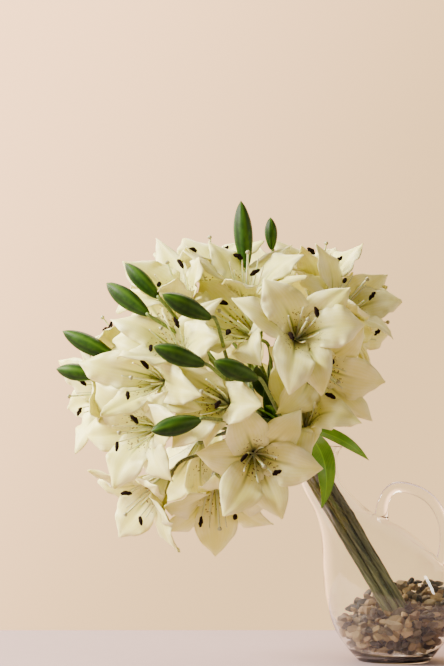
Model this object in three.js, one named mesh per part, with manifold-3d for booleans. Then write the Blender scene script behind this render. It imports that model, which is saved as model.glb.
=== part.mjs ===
// White lilies in a clear glass jug, millimetres, +Z up.
// The origin is the centre of the jug's foot, on the surface that it stands on.
// Eight cut stems lean to the left out of the jug's narrow neck and end in a round
// head of open lilies, green buds and leaves. They stand in a bed of pebbles.

import * as THREE from 'three';
import * as BufferGeometryUtils from 'three/addons/utils/BufferGeometryUtils.js';
import Module from 'manifold-3d';

const wasm = await Module();
wasm.setup();

// The glass jug: each ring's left and right ends seen from the front, foot to mouth
const GLASS_RINGS = [
  { left: [-42.5, 0], right: [42.5, 0] },
  { left: [-54, 13], right: [53, 12.5] },
  { left: [-66.5, 30], right: [65.5, 29] },
  { left: [-76, 54], right: [75.5, 50] },
  { left: [-81.5, 81], right: [75.5, 74] },
  { left: [-83.5, 105], right: [66.5, 99.5] },
  { left: [-84, 129], right: [51, 122] },
  { left: [-85.5, 146.5], right: [37, 136] },
  { left: [-88.5, 162], right: [18, 151.5] },
  { left: [-93.5, 176], right: [-5.5, 164.5] },
  { left: [-99.5, 188], right: [-28, 176] },
  { left: [-104.5, 197.5], right: [-47, 193] },
  { left: [-108.5, 206], right: [-61, 210.5] },
  { left: [-115, 220], right: [-65.5, 227] },
  { left: [-123, 238], right: [-64.5, 241.5] },
  { left: [-134.5, 254.5], right: [-59, 251.5] },
];
const GLASS_SIDES = 18;
const WALL = 3;
const FLOOR = 6;
const HANDLE_LINE = [
  [-14, 163], [-12, 182], [-5.5, 196.5], [5.5, 203.5], [22, 201.5], [38.5, 194],
  [51.5, 181], [60, 162], [62, 141], [58, 117], [50, 95],
];
const HANDLE_RADIUS = 6.5;
const HANDLE_SIDES = 8;
const HANDLE_STEPS = 15;

// The pebble bed: its top slopes up to the right and to the back
const BED_TOP = 66;
const BED_RISE_RIGHT = 0.36;
const BED_RISE_BACK = 0.26;
const BED_CLEARANCE = 0.6;
const BED_RADIUS = 72;
const BED_COLUMNS = 18;
const BED_ROWS = 21;
const SLAB_BOTTOM = -20;
const PEBBLE_STEP = 11.5;
const PEBBLE_ROW = PEBBLE_STEP * 0.87;
const PEBBLE_RELIEF = 4.5;
const CROWN_SPREAD = 1.2;
const GROOVE_SPREAD = 0.8;

// The stems: where they stand, the neck that they lean in, and the head they carry
const STEM_FOOT = vector(17, 0, 35);
const STEM_NECK = vector(-87, 0, 212);
const HEAD_CENTRE = vector(-208, 0, 340);
const STEM_COUNT = 8;
const STEM_RADIUS = 3.7;
const STEM_RING = 10.4;
const STEM_CLEAR_OF_MOUTH = 58;
const STEM_SPREAD = 34;
const STEM_TOP_SHORT = 28;
const HOLE_CLEARANCE = 0.5;
const STALK_RADIUS = 2.4;
const STALK_SIDES = 4;
const STALK_REACH = 70;
const STALK_RUN_IN = 24;
const BUD_RUN_IN = 10;

const BLADE_THICKNESS = 1.6;
const LEAF_BEND_POWER = 1.3;
const PETAL_BEND_POWER = 1.9;
const SLIM_GIRTH = 0.6;
const LEAF_STATIONS = [0, 0.3, 0.6, 0.85, 1];
const LEAF_LIFT = 0.43;
const LEAF_SLACK = 22;
const HEAD_LEAF_SHARES = [0.2, 0.62];
const HEAD_LEAF_TURNS = [0.45, -0.5];
const HEAD_LEAF_TURN_VARIES = 0.5;
const HEAD_LEAF_REACH = 72;
const HEAD_LEAF_RISE = 34;
const HEAD_LEAF_RISE_VARIES = 20;
const HEAD_LEAF_WIDTH = 18;
const HEAD_LEAF_CURL = 40;

// One lily: three inner petals, three narrower outer ones set behind them
const PETAL_LENGTH = 97;
const PETAL_LENGTH_VARIES = 0.08;
const PETAL_CURL_VARIES = 44;
const PETAL_TURN_VARIES = 9;
const PETAL_WIDTHS = [46, 37];
const PETAL_SETBACKS = [0, 3.5];
const PETAL_CUPS = [1.15, 0.9];
const THROAT_DEPTH = 12;
const PETAL_ROOT = 4.5;
const OUTER_ROOT_DROP = 1.5;
const PETAL_CONE = 22;
const PETAL_STATIONS = [0.225, 0.45, 0.675, 0.875, 1];
const KNOB_RADIUS = 4.2;
const KNOB_BELOW = 6;
const FILAMENT_COUNT = 6;
const FILAMENT_LENGTH = 59;
const FILAMENT_RADIUS = 0.7;
const FILAMENT_SPREAD = 17;
const ANTHER_EVERY = 3;
const ANTHER_LENGTH = 13;
const ANTHER_RADIUS = 2.3;
const BARE_TIP_LENGTH = 3;
const BARE_TIP_RADIUS = 0.9;
const PISTIL_LENGTH = 69;
const PISTIL_RADIUS = 1;
const STIGMA_RADIUS = 2.4;
const STAMEN_ROOT_RADIUS = 2.6;
const STAMEN_CROWN_RADIUS = 0.9;
const STAMEN_CROWN_HEIGHT = 4;
const MESH_GAP = 0.3;
const FILAMENT_CLEARANCE = 0.45;
const CUP_DEPTH = 45;
const CUP_RADIUS = 23;
const CUP_FOOT_RADIUS = 7;
const KNOB_MARGIN = 0.4;
const BEND_CLEARANCE = 0.9;
const MEETING_VOLUME = 1e-4;

// Every open lily: its throat, the way it faces, the turn of its first petal in
// degrees, and how far its petal tips have opened from its own axis
const LILIES = [
  { throat: [-116, -88, 377], faces: [0.1, -0.97, 0.2], turn: 2, open: 118 },
  { throat: [-165, -78, 240], faces: [0.1, -0.95, -0.2], turn: -8, open: 118 },
  { throat: [-172, -72, 382], faces: [-0.55, -0.75, 0.3], turn: 0, open: 104 },
  { throat: [-284, -68, 271], faces: [-0.55, -0.8, -0.1], turn: 10, open: 114 },
  { throat: [-201, -100, 300], faces: [-0.45, -0.85, 0.1], turn: -10, open: 129 },
  { throat: [-96, -52, 345], faces: [0.35, -0.85, -0.35], turn: -12, open: 109 },
  { throat: [-253, -88, 357], faces: [-0.3, -0.85, 0.35], turn: 0, open: 104 },
  { throat: [-210, -27, 206], faces: [0.05, -0.6, -0.8], turn: 30, open: 91 },
  { throat: [-274, -26, 211], faces: [-0.65, -0.45, -0.6], turn: 20, open: 89 },
  { throat: [-109, -48, 278], faces: [-0.1, -0.75, 0.6], turn: 0, open: 109 },
  { throat: [-70, -19, 407], faces: [0.55, -0.55, 0.6], turn: 20, open: 85 },
  { throat: [-175, -65, 420], faces: [0, -0.6, 0.8], turn: 15, open: 79 },
  { throat: [-276, -82, 325], faces: [-0.45, -0.85, 0], turn: 15, open: 98 },
  { throat: [-213, -16, 439], faces: [-0.1, -0.4, 0.9], turn: 0, open: 79 },
  { throat: [-90, -6, 433], faces: [0.15, -0.35, 0.9], turn: 30, open: 77 },
  { throat: [-248, -46, 415], faces: [-0.3, -0.6, 0.7], turn: 10, open: 81 },
  { throat: [-65, 25, 397], faces: [0.85, -0.2, 0.05], turn: 10, open: 91 },
  { throat: [-309, 13, 356], faces: [-0.6, -0.1, 0.75], turn: 0, open: 83 },
  { throat: [-324, -11, 315], faces: [-0.9, -0.35, -0.1], turn: 30, open: 91 },
  { throat: [-156, 78, 426], faces: [0.3, 0.6, 0.75], turn: 0, open: 89 },
  { throat: [-101, 76, 345], faces: [0.6, 0.8, 0], turn: 20, open: 89 },
  { throat: [-269, 77, 391], faces: [-0.4, 0.7, 0.55], turn: 10, open: 89 },
  { throat: [-194, 107, 338], faces: [0.05, 1, -0.05], turn: 0, open: 94 },
  { throat: [-233, 72, 249], faces: [-0.2, 0.75, -0.6], turn: 15, open: 89 },
];

// Every closed bud: its base, its tip and its width
const BUDS = [
  { base: [-175, -60, 459], tip: [-181, -70, 537], width: 22 },
  { base: [-144, -40, 483], tip: [-146, -45, 521], width: 15 },
  { base: [-276, -95, 421], tip: [-315, -85, 462], width: 19 },
  { base: [-287, -112, 400], tip: [-336, -92, 438], width: 22 },
  { base: [-216, -155, 392], tip: [-269, -180, 416], width: 22 },
  { base: [-223, -165, 340], tip: [-278, -190, 358], width: 22 },
  { base: [-165, -150, 325], tip: [-212, -185, 342], width: 22 },
  { base: [-227, -160, 279], tip: [-280, -185, 266], width: 22 },
  { base: [-327, -60, 354], tip: [-390, -50, 386], width: 22 },
  { base: [-348, -50, 334], tip: [-398, -40, 342], width: 20 },
];

// The leaves that show: where each leaves its stem, its tip, the way its upper face
// looks, its width, and how far it curls over in degrees
const LEAVES = [
  { base: [-113, -8, 269], tip: [-88, -54, 176], face: [0.4, -0.75, 0.45], width: 29, curl: 130 },
  { base: [-114, 0, 276], tip: [-50, -18, 217], face: [0.35, -0.7, 0.6], width: 22, curl: 95 },
  { base: [-129, -13, 287], tip: [-61, -16, 258], face: [0.25, -0.75, 0.6], width: 24, curl: 130 },
  { base: [-112, -9, 268], tip: [-74, -26, 226], face: [0.3, -0.8, 0.5], width: 24, curl: 60 },
  { base: [-118, 2, 266], tip: [-60, 14, 305], face: [-0.3, -0.8, 0.5], width: 19, curl: 40 },
  { base: [-125, -10, 272], tip: [-185, -72, 298], face: [-0.2, -0.5, 0.8], width: 16, curl: 40 },
  { base: [-127, -8, 260], tip: [-121, -98, 249], face: [0.3, -0.5, 0.8], width: 16, curl: 60 },
  { base: [-135, -8, 280], tip: [-188, -55, 284], face: [-0.3, -0.4, 0.8], width: 18, curl: 45 },
  { base: [-140, -12, 286], tip: [-150, -85, 296], face: [0.1, -0.3, 0.9], width: 16, curl: 45 },
  { base: [-112, 8, 262], tip: [-105, 78, 232], face: [0, 0.4, 0.9], width: 20, curl: 80 },
  { base: [-138, 18, 279], tip: [-172, 88, 270], face: [-0.2, 0.3, 0.9], width: 18, curl: 60 },
];

function vector(x, y, z) {
  return new THREE.Vector3(x, y, z);
}

// A random draw that repeats: the same seed gives the same row of numbers
function seededDraw(seed) {
  let state = seed;
  return () => {
    state = (state * 1664525 + 1013904223) % 4294967296;
    return state / 4294967296;
  };
}

// The part of a direction that is square to another one, at unit length
function squareTo(direction, axis) {
  return direction.clone().addScaledVector(axis, -direction.dot(axis)).normalize();
}

// The triangles of a skin lofted through rings of points. A ring of one point is a
// tip. Each ring runs counterclockwise about the way the rings follow one another.
// The diagonals mirror from one side to the next, so both faces of a blade split
// alike, or all lean one way in a lattice.
function loft(rings, { hasRoot = true, isLattice = false } = {}) {
  const triangles = [];
  for (let k = 0; k + 1 < rings.length; k += 1) {
    const [low, high] = [rings[k], rings[k + 1]];
    const sides = Math.max(low.length, high.length);
    for (let i = 0; i < sides; i += 1) {
      const next = (i + 1) % sides;
      if (high.length === 1) {
        triangles.push([low[i], low[next], high[0]]);
      } else if (isLattice || i % 2 === 1) {
        triangles.push([low[i], low[next], high[i]], [low[next], high[next], high[i]]);
      } else {
        triangles.push([low[i], low[next], high[next]], [low[i], high[next], high[i]]);
      }
    }
  }
  if (hasRoot) {
    triangles.push(...fan(rings[0]).map(([a, b, c]) => [a, c, b]));
  }
  return [...triangles, ...fan(rings[rings.length - 1])];
}

// A flat or nearly flat polygon as triangles
function fan(ring) {
  return ring.slice(2).map((point, i) => [ring[0], ring[i + 1], point]);
}

function toSolid(shape) {
  let geometry = shape;
  if (Array.isArray(shape)) {
    const numbers = shape.flat().flatMap((point) => point.toArray());
    geometry = new THREE.BufferGeometry();
    geometry.setAttribute('position', new THREE.Float32BufferAttribute(numbers, 3));
  }
  geometry.deleteAttribute('normal');
  geometry.deleteAttribute('uv');
  const merged = BufferGeometryUtils.mergeVertices(geometry, 1e-4);
  const mesh = new wasm.Mesh({
    numProp: 3,
    vertProperties: new Float32Array(merged.attributes.position.array),
    triVerts: new Uint32Array(merged.index.array),
  });
  return new wasm.Manifold(mesh);
}

function fuse(solids) {
  return solids.length === 1 ? solids[0] : wasm.Manifold.union(solids);
}

// The largest connected body of a solid, with loose scraps dropped
function largestBody(solid) {
  const bodies = solid.decompose();
  return bodies.reduce((best, body) => (body.volume() > best.volume() ? body : best));
}

function toMesh(name, solid, material) {
  const { vertProperties, triVerts, numProp } = largestBody(solid).getMesh();
  const positions = [];
  for (let i = 0; i < vertProperties.length; i += numProp) {
    positions.push(vertProperties[i], vertProperties[i + 1], vertProperties[i + 2]);
  }
  const geometry = new THREE.BufferGeometry();
  geometry.setAttribute('position', new THREE.Float32BufferAttribute(positions, 3));
  geometry.setIndex(Array.from(triVerts));
  geometry.computeVertexNormals();
  const mesh = new THREE.Mesh(geometry, material);
  mesh.name = name;
  return mesh;
}

function finish(color, roughness, options = {}) {
  return new THREE.MeshStandardMaterial({ color, roughness, metalness: 0, ...options });
}

const GLASS = finish(0xe6ebe6, 0.05, { transparent: true, opacity: 0.3 });
const GRAVEL = finish(0xa8875f, 0.6);
const STALK_GREEN = finish(0x7d7f3d, 0.5);
const PETAL_IVORY = finish(0xf3efe2, 0.55);
const ANTHER_BROWN = finish(0x3a2417, 0.8);

// A rod with a flat-sided section, straight or along a smooth line through points
function rod(points, radius, sides, steps) {
  const section = new THREE.Shape();
  for (let i = 0; i < sides; i += 1) {
    const angle = (2 * Math.PI * i) / sides;
    section[i === 0 ? 'moveTo' : 'lineTo'](radius * Math.cos(angle), radius * Math.sin(angle));
  }
  const path = points.length === 2
    ? new THREE.LineCurve3(points[0], points[1])
    : new THREE.CatmullRomCurve3(points);
  return toSolid(new THREE.ExtrudeGeometry(section, { steps, extrudePath: path }));
}

// A ring drawn round a new place, each point on the side that it had before
function echoRing(ring, place, direction, radius) {
  const middle = ring.reduce((sum, point) => sum.add(point), vector(0, 0, 0));
  middle.divideScalar(ring.length);
  return ring.map((point) => (
    place.clone().addScaledVector(squareTo(point.clone().sub(middle), direction), radius)));
}

// A filament from its root ring to its end, with a fatter tip along its own direction
function filamentRings(root, end, radius, tipAxis, tipLength, tipRadius) {
  const direction = end.clone().sub(root[0]).normalize();
  const neck = echoRing(root, end, direction, radius);
  const swell = echoRing(neck, end.clone().addScaledVector(tipAxis, tipLength * 0.4),
    tipAxis, tipRadius);
  return [root, neck, swell, [end.clone().addScaledVector(tipAxis, tipLength)]];
}

// The jug's inner or outer skin, as rings drawn in by an inset
function glassRings(inset, floorHeight, ringCount) {
  return GLASS_RINGS.slice(0, ringCount).map(({ left, right }, index) => {
    const lift = index === 0 ? floorHeight : 0;
    const middle = vector((left[0] + right[0]) / 2, 0, (left[1] + right[1]) / 2 + lift);
    const across = vector(right[0] - left[0], 0, right[1] - left[1]);
    const half = across.length() / 2 - inset;
    across.normalize();
    const ring = [];
    for (let i = 0; i < GLASS_SIDES; i += 1) {
      const angle = (2 * Math.PI * i) / GLASS_SIDES;
      const point = middle.clone().addScaledVector(across, half * Math.cos(angle));
      point.y += half * Math.sin(angle);
      ring.push(point);
    }
    return ring;
  });
}

// The space inside the glass, running out past the mouth
function glassInside(inset) {
  const rings = glassRings(inset, FLOOR + inset - WALL, GLASS_RINGS.length);
  const mouth = rings[rings.length - 1];
  const below = rings[rings.length - 2];
  rings.push(mouth.map((point, i) => point.clone().multiplyScalar(2).sub(below[i])));
  return toSolid(loft(rings));
}

function jug() {
  const body = toSolid(loft(glassRings(0, 0, GLASS_RINGS.length)));
  const line = HANDLE_LINE.map(([x, z]) => vector(x, 0, z));
  const handle = rod(line, HANDLE_RADIUS, HANDLE_SIDES, HANDLE_STEPS);
  return fuse([body, handle]).subtract(glassInside(WALL));
}

function bedTopHeight(x, y) {
  return BED_TOP + BED_RISE_RIGHT * x + BED_RISE_BACK * y;
}

// Pebbles lie in a three-way pattern: one vertex in three is the crown of a pebble,
// and the six round it lie in the grooves between it and its neighbours
function pebbleSink(column, row, draw) {
  const isCrown = (((column - row) % 3) + 3) % 3 === 0;
  return isCrown ? draw() * CROWN_SPREAD : PEBBLE_RELIEF - draw() * GROOVE_SPREAD;
}

// The bed's side: rings of crowns and grooves that follow the glass
function bedSide(draw) {
  const rows = Math.round((GLASS_RINGS[7].left[1] - FLOOR) / PEBBLE_ROW);
  const skin = glassRings(WALL + BED_CLEARANCE, FLOOR + BED_CLEARANCE, GLASS_RINGS.length);
  const columns = 3 * Math.round((2 * Math.PI * BED_RADIUS) / PEBBLE_STEP / 3);
  const rings = [];
  for (let row = 0; row <= rows; row += 1) {
    const height = FLOOR + BED_CLEARANCE + row * PEBBLE_ROW;
    const upper = Math.max(1, skin.findIndex((ring) => ring[0].z > height));
    const share = (height - skin[upper - 1][0].z) / (skin[upper][0].z - skin[upper - 1][0].z);
    const ring = [];
    for (let column = 0; column < columns; column += 1) {
      const place = (((column + row / 2) / columns) * GLASS_SIDES) % GLASS_SIDES;
      const side = Math.floor(place);
      const next = (side + 1) % GLASS_SIDES;
      const low = skin[upper - 1][side].clone().lerp(skin[upper - 1][next], place % 1);
      const high = skin[upper][side].clone().lerp(skin[upper][next], place % 1);
      const point = low.lerp(high, share);
      const inward = vector(-point.x, -point.y, 0).normalize();
      ring.push(point.addScaledVector(inward, pebbleSink(column, row, draw)));
    }
    rings.push(ring);
  }
  return toSolid(loft(rings, { isLattice: true }));
}

// The bed's top: a sloping sheet of crowns and grooves over a thick slab
function bedTop(draw) {
  const sheet = [];
  for (let row = 0; row < BED_ROWS; row += 1) {
    for (let column = 0; column < BED_COLUMNS; column += 1) {
      const x = (column - BED_COLUMNS / 2 + 0.5 + (row % 2) / 2) * PEBBLE_STEP;
      const y = (row - BED_ROWS / 2) * PEBBLE_ROW;
      const sink = pebbleSink(column - Math.floor(row / 2), row, draw);
      sheet.push(vector(x, y, bedTopHeight(x, y) - sink));
    }
  }
  const at = (column, row) => sheet[row * BED_COLUMNS + column];
  const triangles = [];
  for (let row = 0; row + 1 < BED_ROWS; row += 1) {
    for (let column = 0; column + 1 < BED_COLUMNS; column += 1) {
      const [a, b] = [at(column, row), at(column + 1, row)];
      const [d, c] = [at(column, row + 1), at(column + 1, row + 1)];
      triangles.push(...(row % 2 === 0 ? [[a, b, d], [b, c, d]] : [[a, b, c], [a, c, d]]));
    }
  }
  const edge = [];
  for (let i = 0; i + 1 < BED_COLUMNS; i += 1) {
    edge.push(at(i, 0));
  }
  for (let i = 0; i + 1 < BED_ROWS; i += 1) {
    edge.push(at(BED_COLUMNS - 1, i));
  }
  for (let i = BED_COLUMNS - 1; i > 0; i -= 1) {
    edge.push(at(i, BED_ROWS - 1));
  }
  for (let i = BED_ROWS - 1; i > 0; i -= 1) {
    edge.push(at(0, i));
  }
  const below = edge.map((point) => vector(point.x, point.y, SLAB_BOTTOM));
  const under = below.map((point, i) => (
    [vector(0, 0, SLAB_BOTTOM), below[(i + 1) % below.length], point]));
  return toSolid([...triangles, ...loft([below, edge]).slice(0, 2 * edge.length), ...under]);
}

function pebbleBed(stemHoles) {
  const draw = seededDraw(7);
  return bedSide(draw).intersect(bedTop(draw)).subtract(fuse(stemHoles));
}

// A blade is a petal or a leaf. It leaves its base along one direction, with its
// upper face to another, and bends away from that face by its curl.
// Its frame at a share of its length is worked out in forty equal steps.
const BLADE_STEPS = 40;

function bladeFrame(blade, share) {
  const steps = Math.round(share * BLADE_STEPS);
  const place = blade.base.clone();
  const tangentAt = (part) => {
    const bend = blade.curl * part ** blade.power;
    return blade.along.clone().multiplyScalar(Math.cos(bend))
      .addScaledVector(blade.face, -Math.sin(bend));
  };
  for (let i = 0; i < steps; i += 1) {
    place.addScaledVector(tangentAt((i + 0.5) / BLADE_STEPS), blade.length / BLADE_STEPS);
  }
  const tangent = tangentAt(share);
  const side = blade.face.clone().cross(blade.along);
  place.addScaledVector(side, blade.sweep * blade.length * share * share);
  return { place, tangent, side, upper: tangent.clone().cross(side) };
}

function petalOutline(share) {
  const lens = Math.sin(Math.PI * share ** 1.25) ** 0.95;
  return 0.1 * (1 - share) ** 4 + lens * (1 - 0.35 * share ** 5);
}

function leafOutline(share) {
  return 0.2 * (1 - share) ** 2 + Math.sin(Math.PI * share ** 0.8) ** 0.9;
}

// A point of the blade's middle surface, across from -1 to 1
function bladePoint(blade, share, across) {
  const { place, side, upper } = bladeFrame(blade, share);
  const half = (blade.width / 2) * blade.outline(Math.min(share, 1));
  const cup = blade.cup * (1 - share) ** 1.5 - blade.reflex * share ** 3;
  const ripple = blade.ripple * Math.sin(Math.PI * (5 * share + blade.phase * across));
  const lift = (half * cup + ripple * blade.outline(share)) * across * across / 2;
  const reach = half * across * (1 - (across * cup) ** 2 / 6);
  return place.addScaledVector(side, reach).addScaledVector(upper, lift);
}

// The blade's rings: thickest at its midrib, with a ridge on either face
function bladeRings(blade, stations) {
  return stations.map((share) => {
    if (share === 1) {
      return [bladePoint(blade, 1, 0)];
    }
    const { upper } = bladeFrame(blade, share);
    const middle = bladePoint(blade, share, 0);
    return [
      bladePoint(blade, share, 1),
      middle.clone().addScaledVector(upper, BLADE_THICKNESS / 2),
      bladePoint(blade, share, -1),
      middle.clone().addScaledVector(upper, -BLADE_THICKNESS / 2),
    ];
  });
}

// What has been placed so far, so that each next piece can be bent clear of it
const placed = [];

function place(solid, owner) {
  placed.push({ solid, owner, box: solid.boundingBox() });
}

// Pieces of one owner may meet at their roots, but not cross, and a lily's stalk,
// petals and stamens may come close to its own knob
function isClear(solid, owner, gap, knob) {
  const box = solid.boundingBox();
  return placed.every((other) => {
    const apart = [0, 1, 2].some((axis) => box.min[axis] - gap > other.box.max[axis]
      || box.max[axis] + gap < other.box.min[axis]);
    if (apart || (other.owner === knob && owner !== knob)) {
      return true;
    }
    if (other.owner === owner) {
      return owner.startsWith('stem') || other.solid.intersect(solid).volume() < MEETING_VOLUME;
    }
    return other.solid.minGap(solid, gap * 2) >= gap;
  });
}

// The first option whose solid is clear of everything placed, or nothing
function settle(options, owner, gap, knob, make) {
  for (const option of options) {
    const shape = make(option);
    const solid = Array.isArray(shape) ? toSolid(loft(shape)) : shape;
    if (isClear(solid, owner, gap, knob)) {
      place(solid, owner);
      return shape;
    }
  }
  return null;
}

// The ways a petal or leaf may yield: more or less curl, a sweep to one side, and
// a shorter blade, tried in this order, and then the same again with a slim blade
const BLADE_SIZES = [1, 0.9, 0.8, 0.7, 0.6, 0.5];
const SLIM_SIZES = [0.95, 0.85, 0.75, 0.65, 0.55, 0.45];
const BLADE_YIELDS = [];
for (const size of [...BLADE_SIZES, ...SLIM_SIZES]) {
  for (const curl of [0, -14, 14, -28, 28, -42, -56, 45, -70, 70]) {
    for (const sweep of [0, 0.12, -0.12, 0.25, -0.25, 0.4, -0.4]) {
      BLADE_YIELDS.push({ size, curl, sweep, girth: SLIM_SIZES.includes(size) ? SLIM_GIRTH : 1 });
    }
  }
}

function yieldBlade(blade, { size, curl, sweep, girth }) {
  const bent = blade.curl + THREE.MathUtils.degToRad(curl);
  return { ...blade, length: blade.length * size, width: blade.width * girth, curl: bent, sweep };
}

// The frame across the head: along the stems, and two directions square to them
const HEAD_AXIS = HEAD_CENTRE.clone().sub(STEM_NECK).normalize();
const HEAD_FRONT = squareTo(vector(0, -1, 0), HEAD_AXIS);
const HEAD_SIDE = HEAD_AXIS.clone().cross(HEAD_FRONT);

function headTurn(point) {
  const spoke = point.clone().sub(HEAD_CENTRE);
  return Math.atan2(spoke.dot(HEAD_SIDE), spoke.dot(HEAD_FRONT));
}

function spoke(angle, front, side) {
  return front.clone().multiplyScalar(Math.cos(angle)).addScaledVector(side, Math.sin(angle));
}

function lilyName(number) {
  return `lily_${String(number + 1).padStart(2, '0')}`;
}

function knobName(number) {
  return `${lilyName(number)} knob`;
}

// A lily's own frame: its axis, and the two directions that its petals turn about
function lilyFrame(lily) {
  const axis = vector(...lily.faces).normalize();
  const right = squareTo(vector(1, 0, 0), axis);
  const up = axis.clone().cross(right);
  return { axis, right, up, root: vector(...lily.throat).addScaledVector(axis, -THROAT_DEPTH) };
}

// The stalk that carries a lily or bud: from a stem, out and in behind the flower.
// It may leave its stem lower or higher, and bow to any side.
const STALK_WAYS = [];
for (const bow of [0, 10, 20, 32]) {
  for (const shift of [0, -0.2, 0.2, -0.4, 0.4]) {
    for (const way of bow === 0 ? [0] : [0, 60, 120, 180, 240, 300]) {
      STALK_WAYS.push({ bow, shift, way });
    }
  }
}

function stalkLine(stem, end, direction, runIn, { bow, shift, way }) {
  const level = end.clone().sub(stem.mouth).dot(HEAD_AXIS) - STALK_REACH;
  const share = level / stem.mouth.distanceTo(stem.top) + shift;
  const start = stem.mouth.clone().lerp(stem.top, THREE.MathUtils.clamp(share, 0.05, 0.98));
  const behind = end.clone().addScaledVector(direction, -runIn);
  const middle = start.clone().lerp(behind, 0.5);
  middle.addScaledVector(spoke(THREE.MathUtils.degToRad(way), HEAD_FRONT, HEAD_SIDE), bow);
  return [start, middle, behind, end];
}

// A bud: six long faces, fattest at its middle, drawn in to a tip
const BUD_SECTIONS = [[0, 0.34], [0.14, 0.68], [0.4, 0.98], [0.65, 0.96], [0.87, 0.56]];

function budSolid(base, tip, width) {
  const axis = tip.clone().sub(base);
  const direction = axis.clone().normalize();
  const front = squareTo(vector(0.3, -1, 0.2), direction);
  const side = direction.clone().cross(front);
  const rings = BUD_SECTIONS.map(([share, girth]) => {
    const ring = [];
    for (let i = 0; i < 6; i += 1) {
      const lobe = i % 2 === 0 ? 1 : 0.86;
      const arm = spoke((Math.PI * i) / 3, front, side);
      const middle = base.clone().addScaledVector(axis, share);
      ring.push(middle.addScaledVector(arm, (width / 2) * girth * lobe));
    }
    return ring;
  });
  rings.push([tip.clone()]);
  return toSolid(loft(rings));
}

// The eight stems, each with the third of the lilies that lies around its own side
const byTurn = LILIES.map((lily, index) => ({ index, turn: headTurn(vector(...lily.throat)) }));
byTurn.sort((a, b) => a.turn - b.turn);
const firstTurn = (byTurn[0].turn + byTurn[1].turn + byTurn[2].turn) / 3;
const footAxis = STEM_NECK.clone().sub(STEM_FOOT).normalize();
const footFront = squareTo(vector(0, -1, 0), footAxis);
const footSide = footAxis.clone().cross(footFront);
const stems = [];
for (let i = 0; i < STEM_COUNT; i += 1) {
  const turn = firstTurn + (2 * Math.PI * i) / STEM_COUNT;
  const offset = spoke(turn, footFront, footSide).multiplyScalar(STEM_RING);
  const outward = spoke(turn, HEAD_FRONT, HEAD_SIDE);
  stems.push({
    name: `stem_${i + 1}`,
    turn,
    outward,
    foot: STEM_FOOT.clone().add(offset),
    neck: STEM_NECK.clone().add(offset),
    mouth: STEM_NECK.clone().add(offset).addScaledVector(footAxis, STEM_CLEAR_OF_MOUTH),
    top: HEAD_CENTRE.clone().addScaledVector(HEAD_AXIS, -STEM_TOP_SHORT)
      .addScaledVector(outward, STEM_SPREAD),
    lilies: byTurn.slice(i * 3, i * 3 + 3).map((entry) => entry.index),
    buds: [],
  });
}
BUDS.forEach((bud) => {
  const turn = headTurn(vector(...bud.base));
  const off = (stem) => Math.abs(Math.atan2(Math.sin(stem.turn - turn), Math.cos(stem.turn - turn)));
  stems.reduce((best, stem) => (off(stem) < off(best) ? stem : best)).buds.push(bud);
});

const jugSolid = jug();
place(jugSolid, 'jug');

function hexagon(middle, axis) {
  const front = squareTo(vector(0, -1, 0), axis);
  const side = axis.clone().cross(front);
  return [0, 1, 2, 3, 4, 5].map((i) => (
    middle.clone().addScaledVector(spoke((Math.PI * i) / 3, front, side), STEM_RADIUS)));
}

// Each stem is straight from its foot to past the jug's mouth, and bends once there
const stemParts = stems.map((stem) => {
  const solid = toSolid(loft([
    hexagon(stem.foot, footAxis),
    hexagon(stem.mouth, stem.top.clone().sub(stem.foot).normalize()),
    hexagon(stem.top, stem.top.clone().sub(stem.mouth).normalize()),
  ]));
  place(solid, stem.name);
  return [solid];
});

// The places round a lily's knob where its petals and filaments take root
function knobPoint({ axis, right, up, root }, degrees, radius, height) {
  const arm = spoke(THREE.MathUtils.degToRad(degrees), right, up);
  return root.clone().addScaledVector(axis, height).addScaledVector(arm, radius);
}

const CORNER_RADIUS = PETAL_ROOT / Math.cos(Math.PI / 6);

// Every knob's place is kept free for good, and the cup that a lily's petals stand in
// until they are placed
LILIES.forEach((lily, number) => {
  const frame = lilyFrame(lily);
  const { axis, root } = frame;
  const cup = new THREE.CylinderGeometry(CUP_RADIUS, CUP_FOOT_RADIUS, CUP_DEPTH, 6);
  cup.translate(0, CUP_DEPTH / 2, 0);
  cup.applyQuaternion(new THREE.Quaternion().setFromUnitVectors(vector(0, 1, 0), axis));
  cup.translate(root.x, root.y, root.z);
  place(toSolid(cup), `${lilyName(number)} cup`);
  const ring = (radius, height) => [0, 1, 2, 3, 4, 5].map((i) => (
    knobPoint(frame, lily.turn + 30 + 60 * i, radius, height)));
  const knob = [ring(KNOB_RADIUS, -KNOB_BELOW), ring(CORNER_RADIUS + KNOB_MARGIN, 0)];
  place(toSolid(loft(knob)), knobName(number));
});

stems.forEach((stem, index) => {
  for (const number of stem.lilies) {
    const { axis, root } = lilyFrame(LILIES[number]);
    const end = root.clone().addScaledVector(axis, -KNOB_BELOW - MESH_GAP);
    const stalk = settle(STALK_WAYS, stem.name, BEND_CLEARANCE, knobName(number), (way) => (
      rod(stalkLine(stem, end, axis, STALK_RUN_IN, way), STALK_RADIUS, STALK_SIDES, 3)));
    if (!stalk) {
      console.warn(`no way for the stalk of lily ${number + 1}`);
    } else {
      stemParts[index].push(stalk);
    }
  }
  for (const bud of stem.buds) {
    const base = vector(...bud.base);
    const tip = vector(...bud.tip);
    const direction = tip.clone().sub(base).normalize();
    const end = base.clone().addScaledVector(direction, 2);
    const parts = settle(STALK_WAYS, stem.name, BEND_CLEARANCE, '', (way) => fuse([
      rod(stalkLine(stem, end, direction, BUD_RUN_IN, way), STALK_RADIUS, STALK_SIDES, 3),
      budSolid(base, tip, bud.width)]));
    if (!parts) {
      console.warn(`no way for the bud at ${bud.base}`);
    } else {
      stemParts[index].push(parts);
    }
  }
});

// A petal's own blade, before it yields to anything. No two petals are quite alike.
const petalDraw = seededDraw(41);

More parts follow.
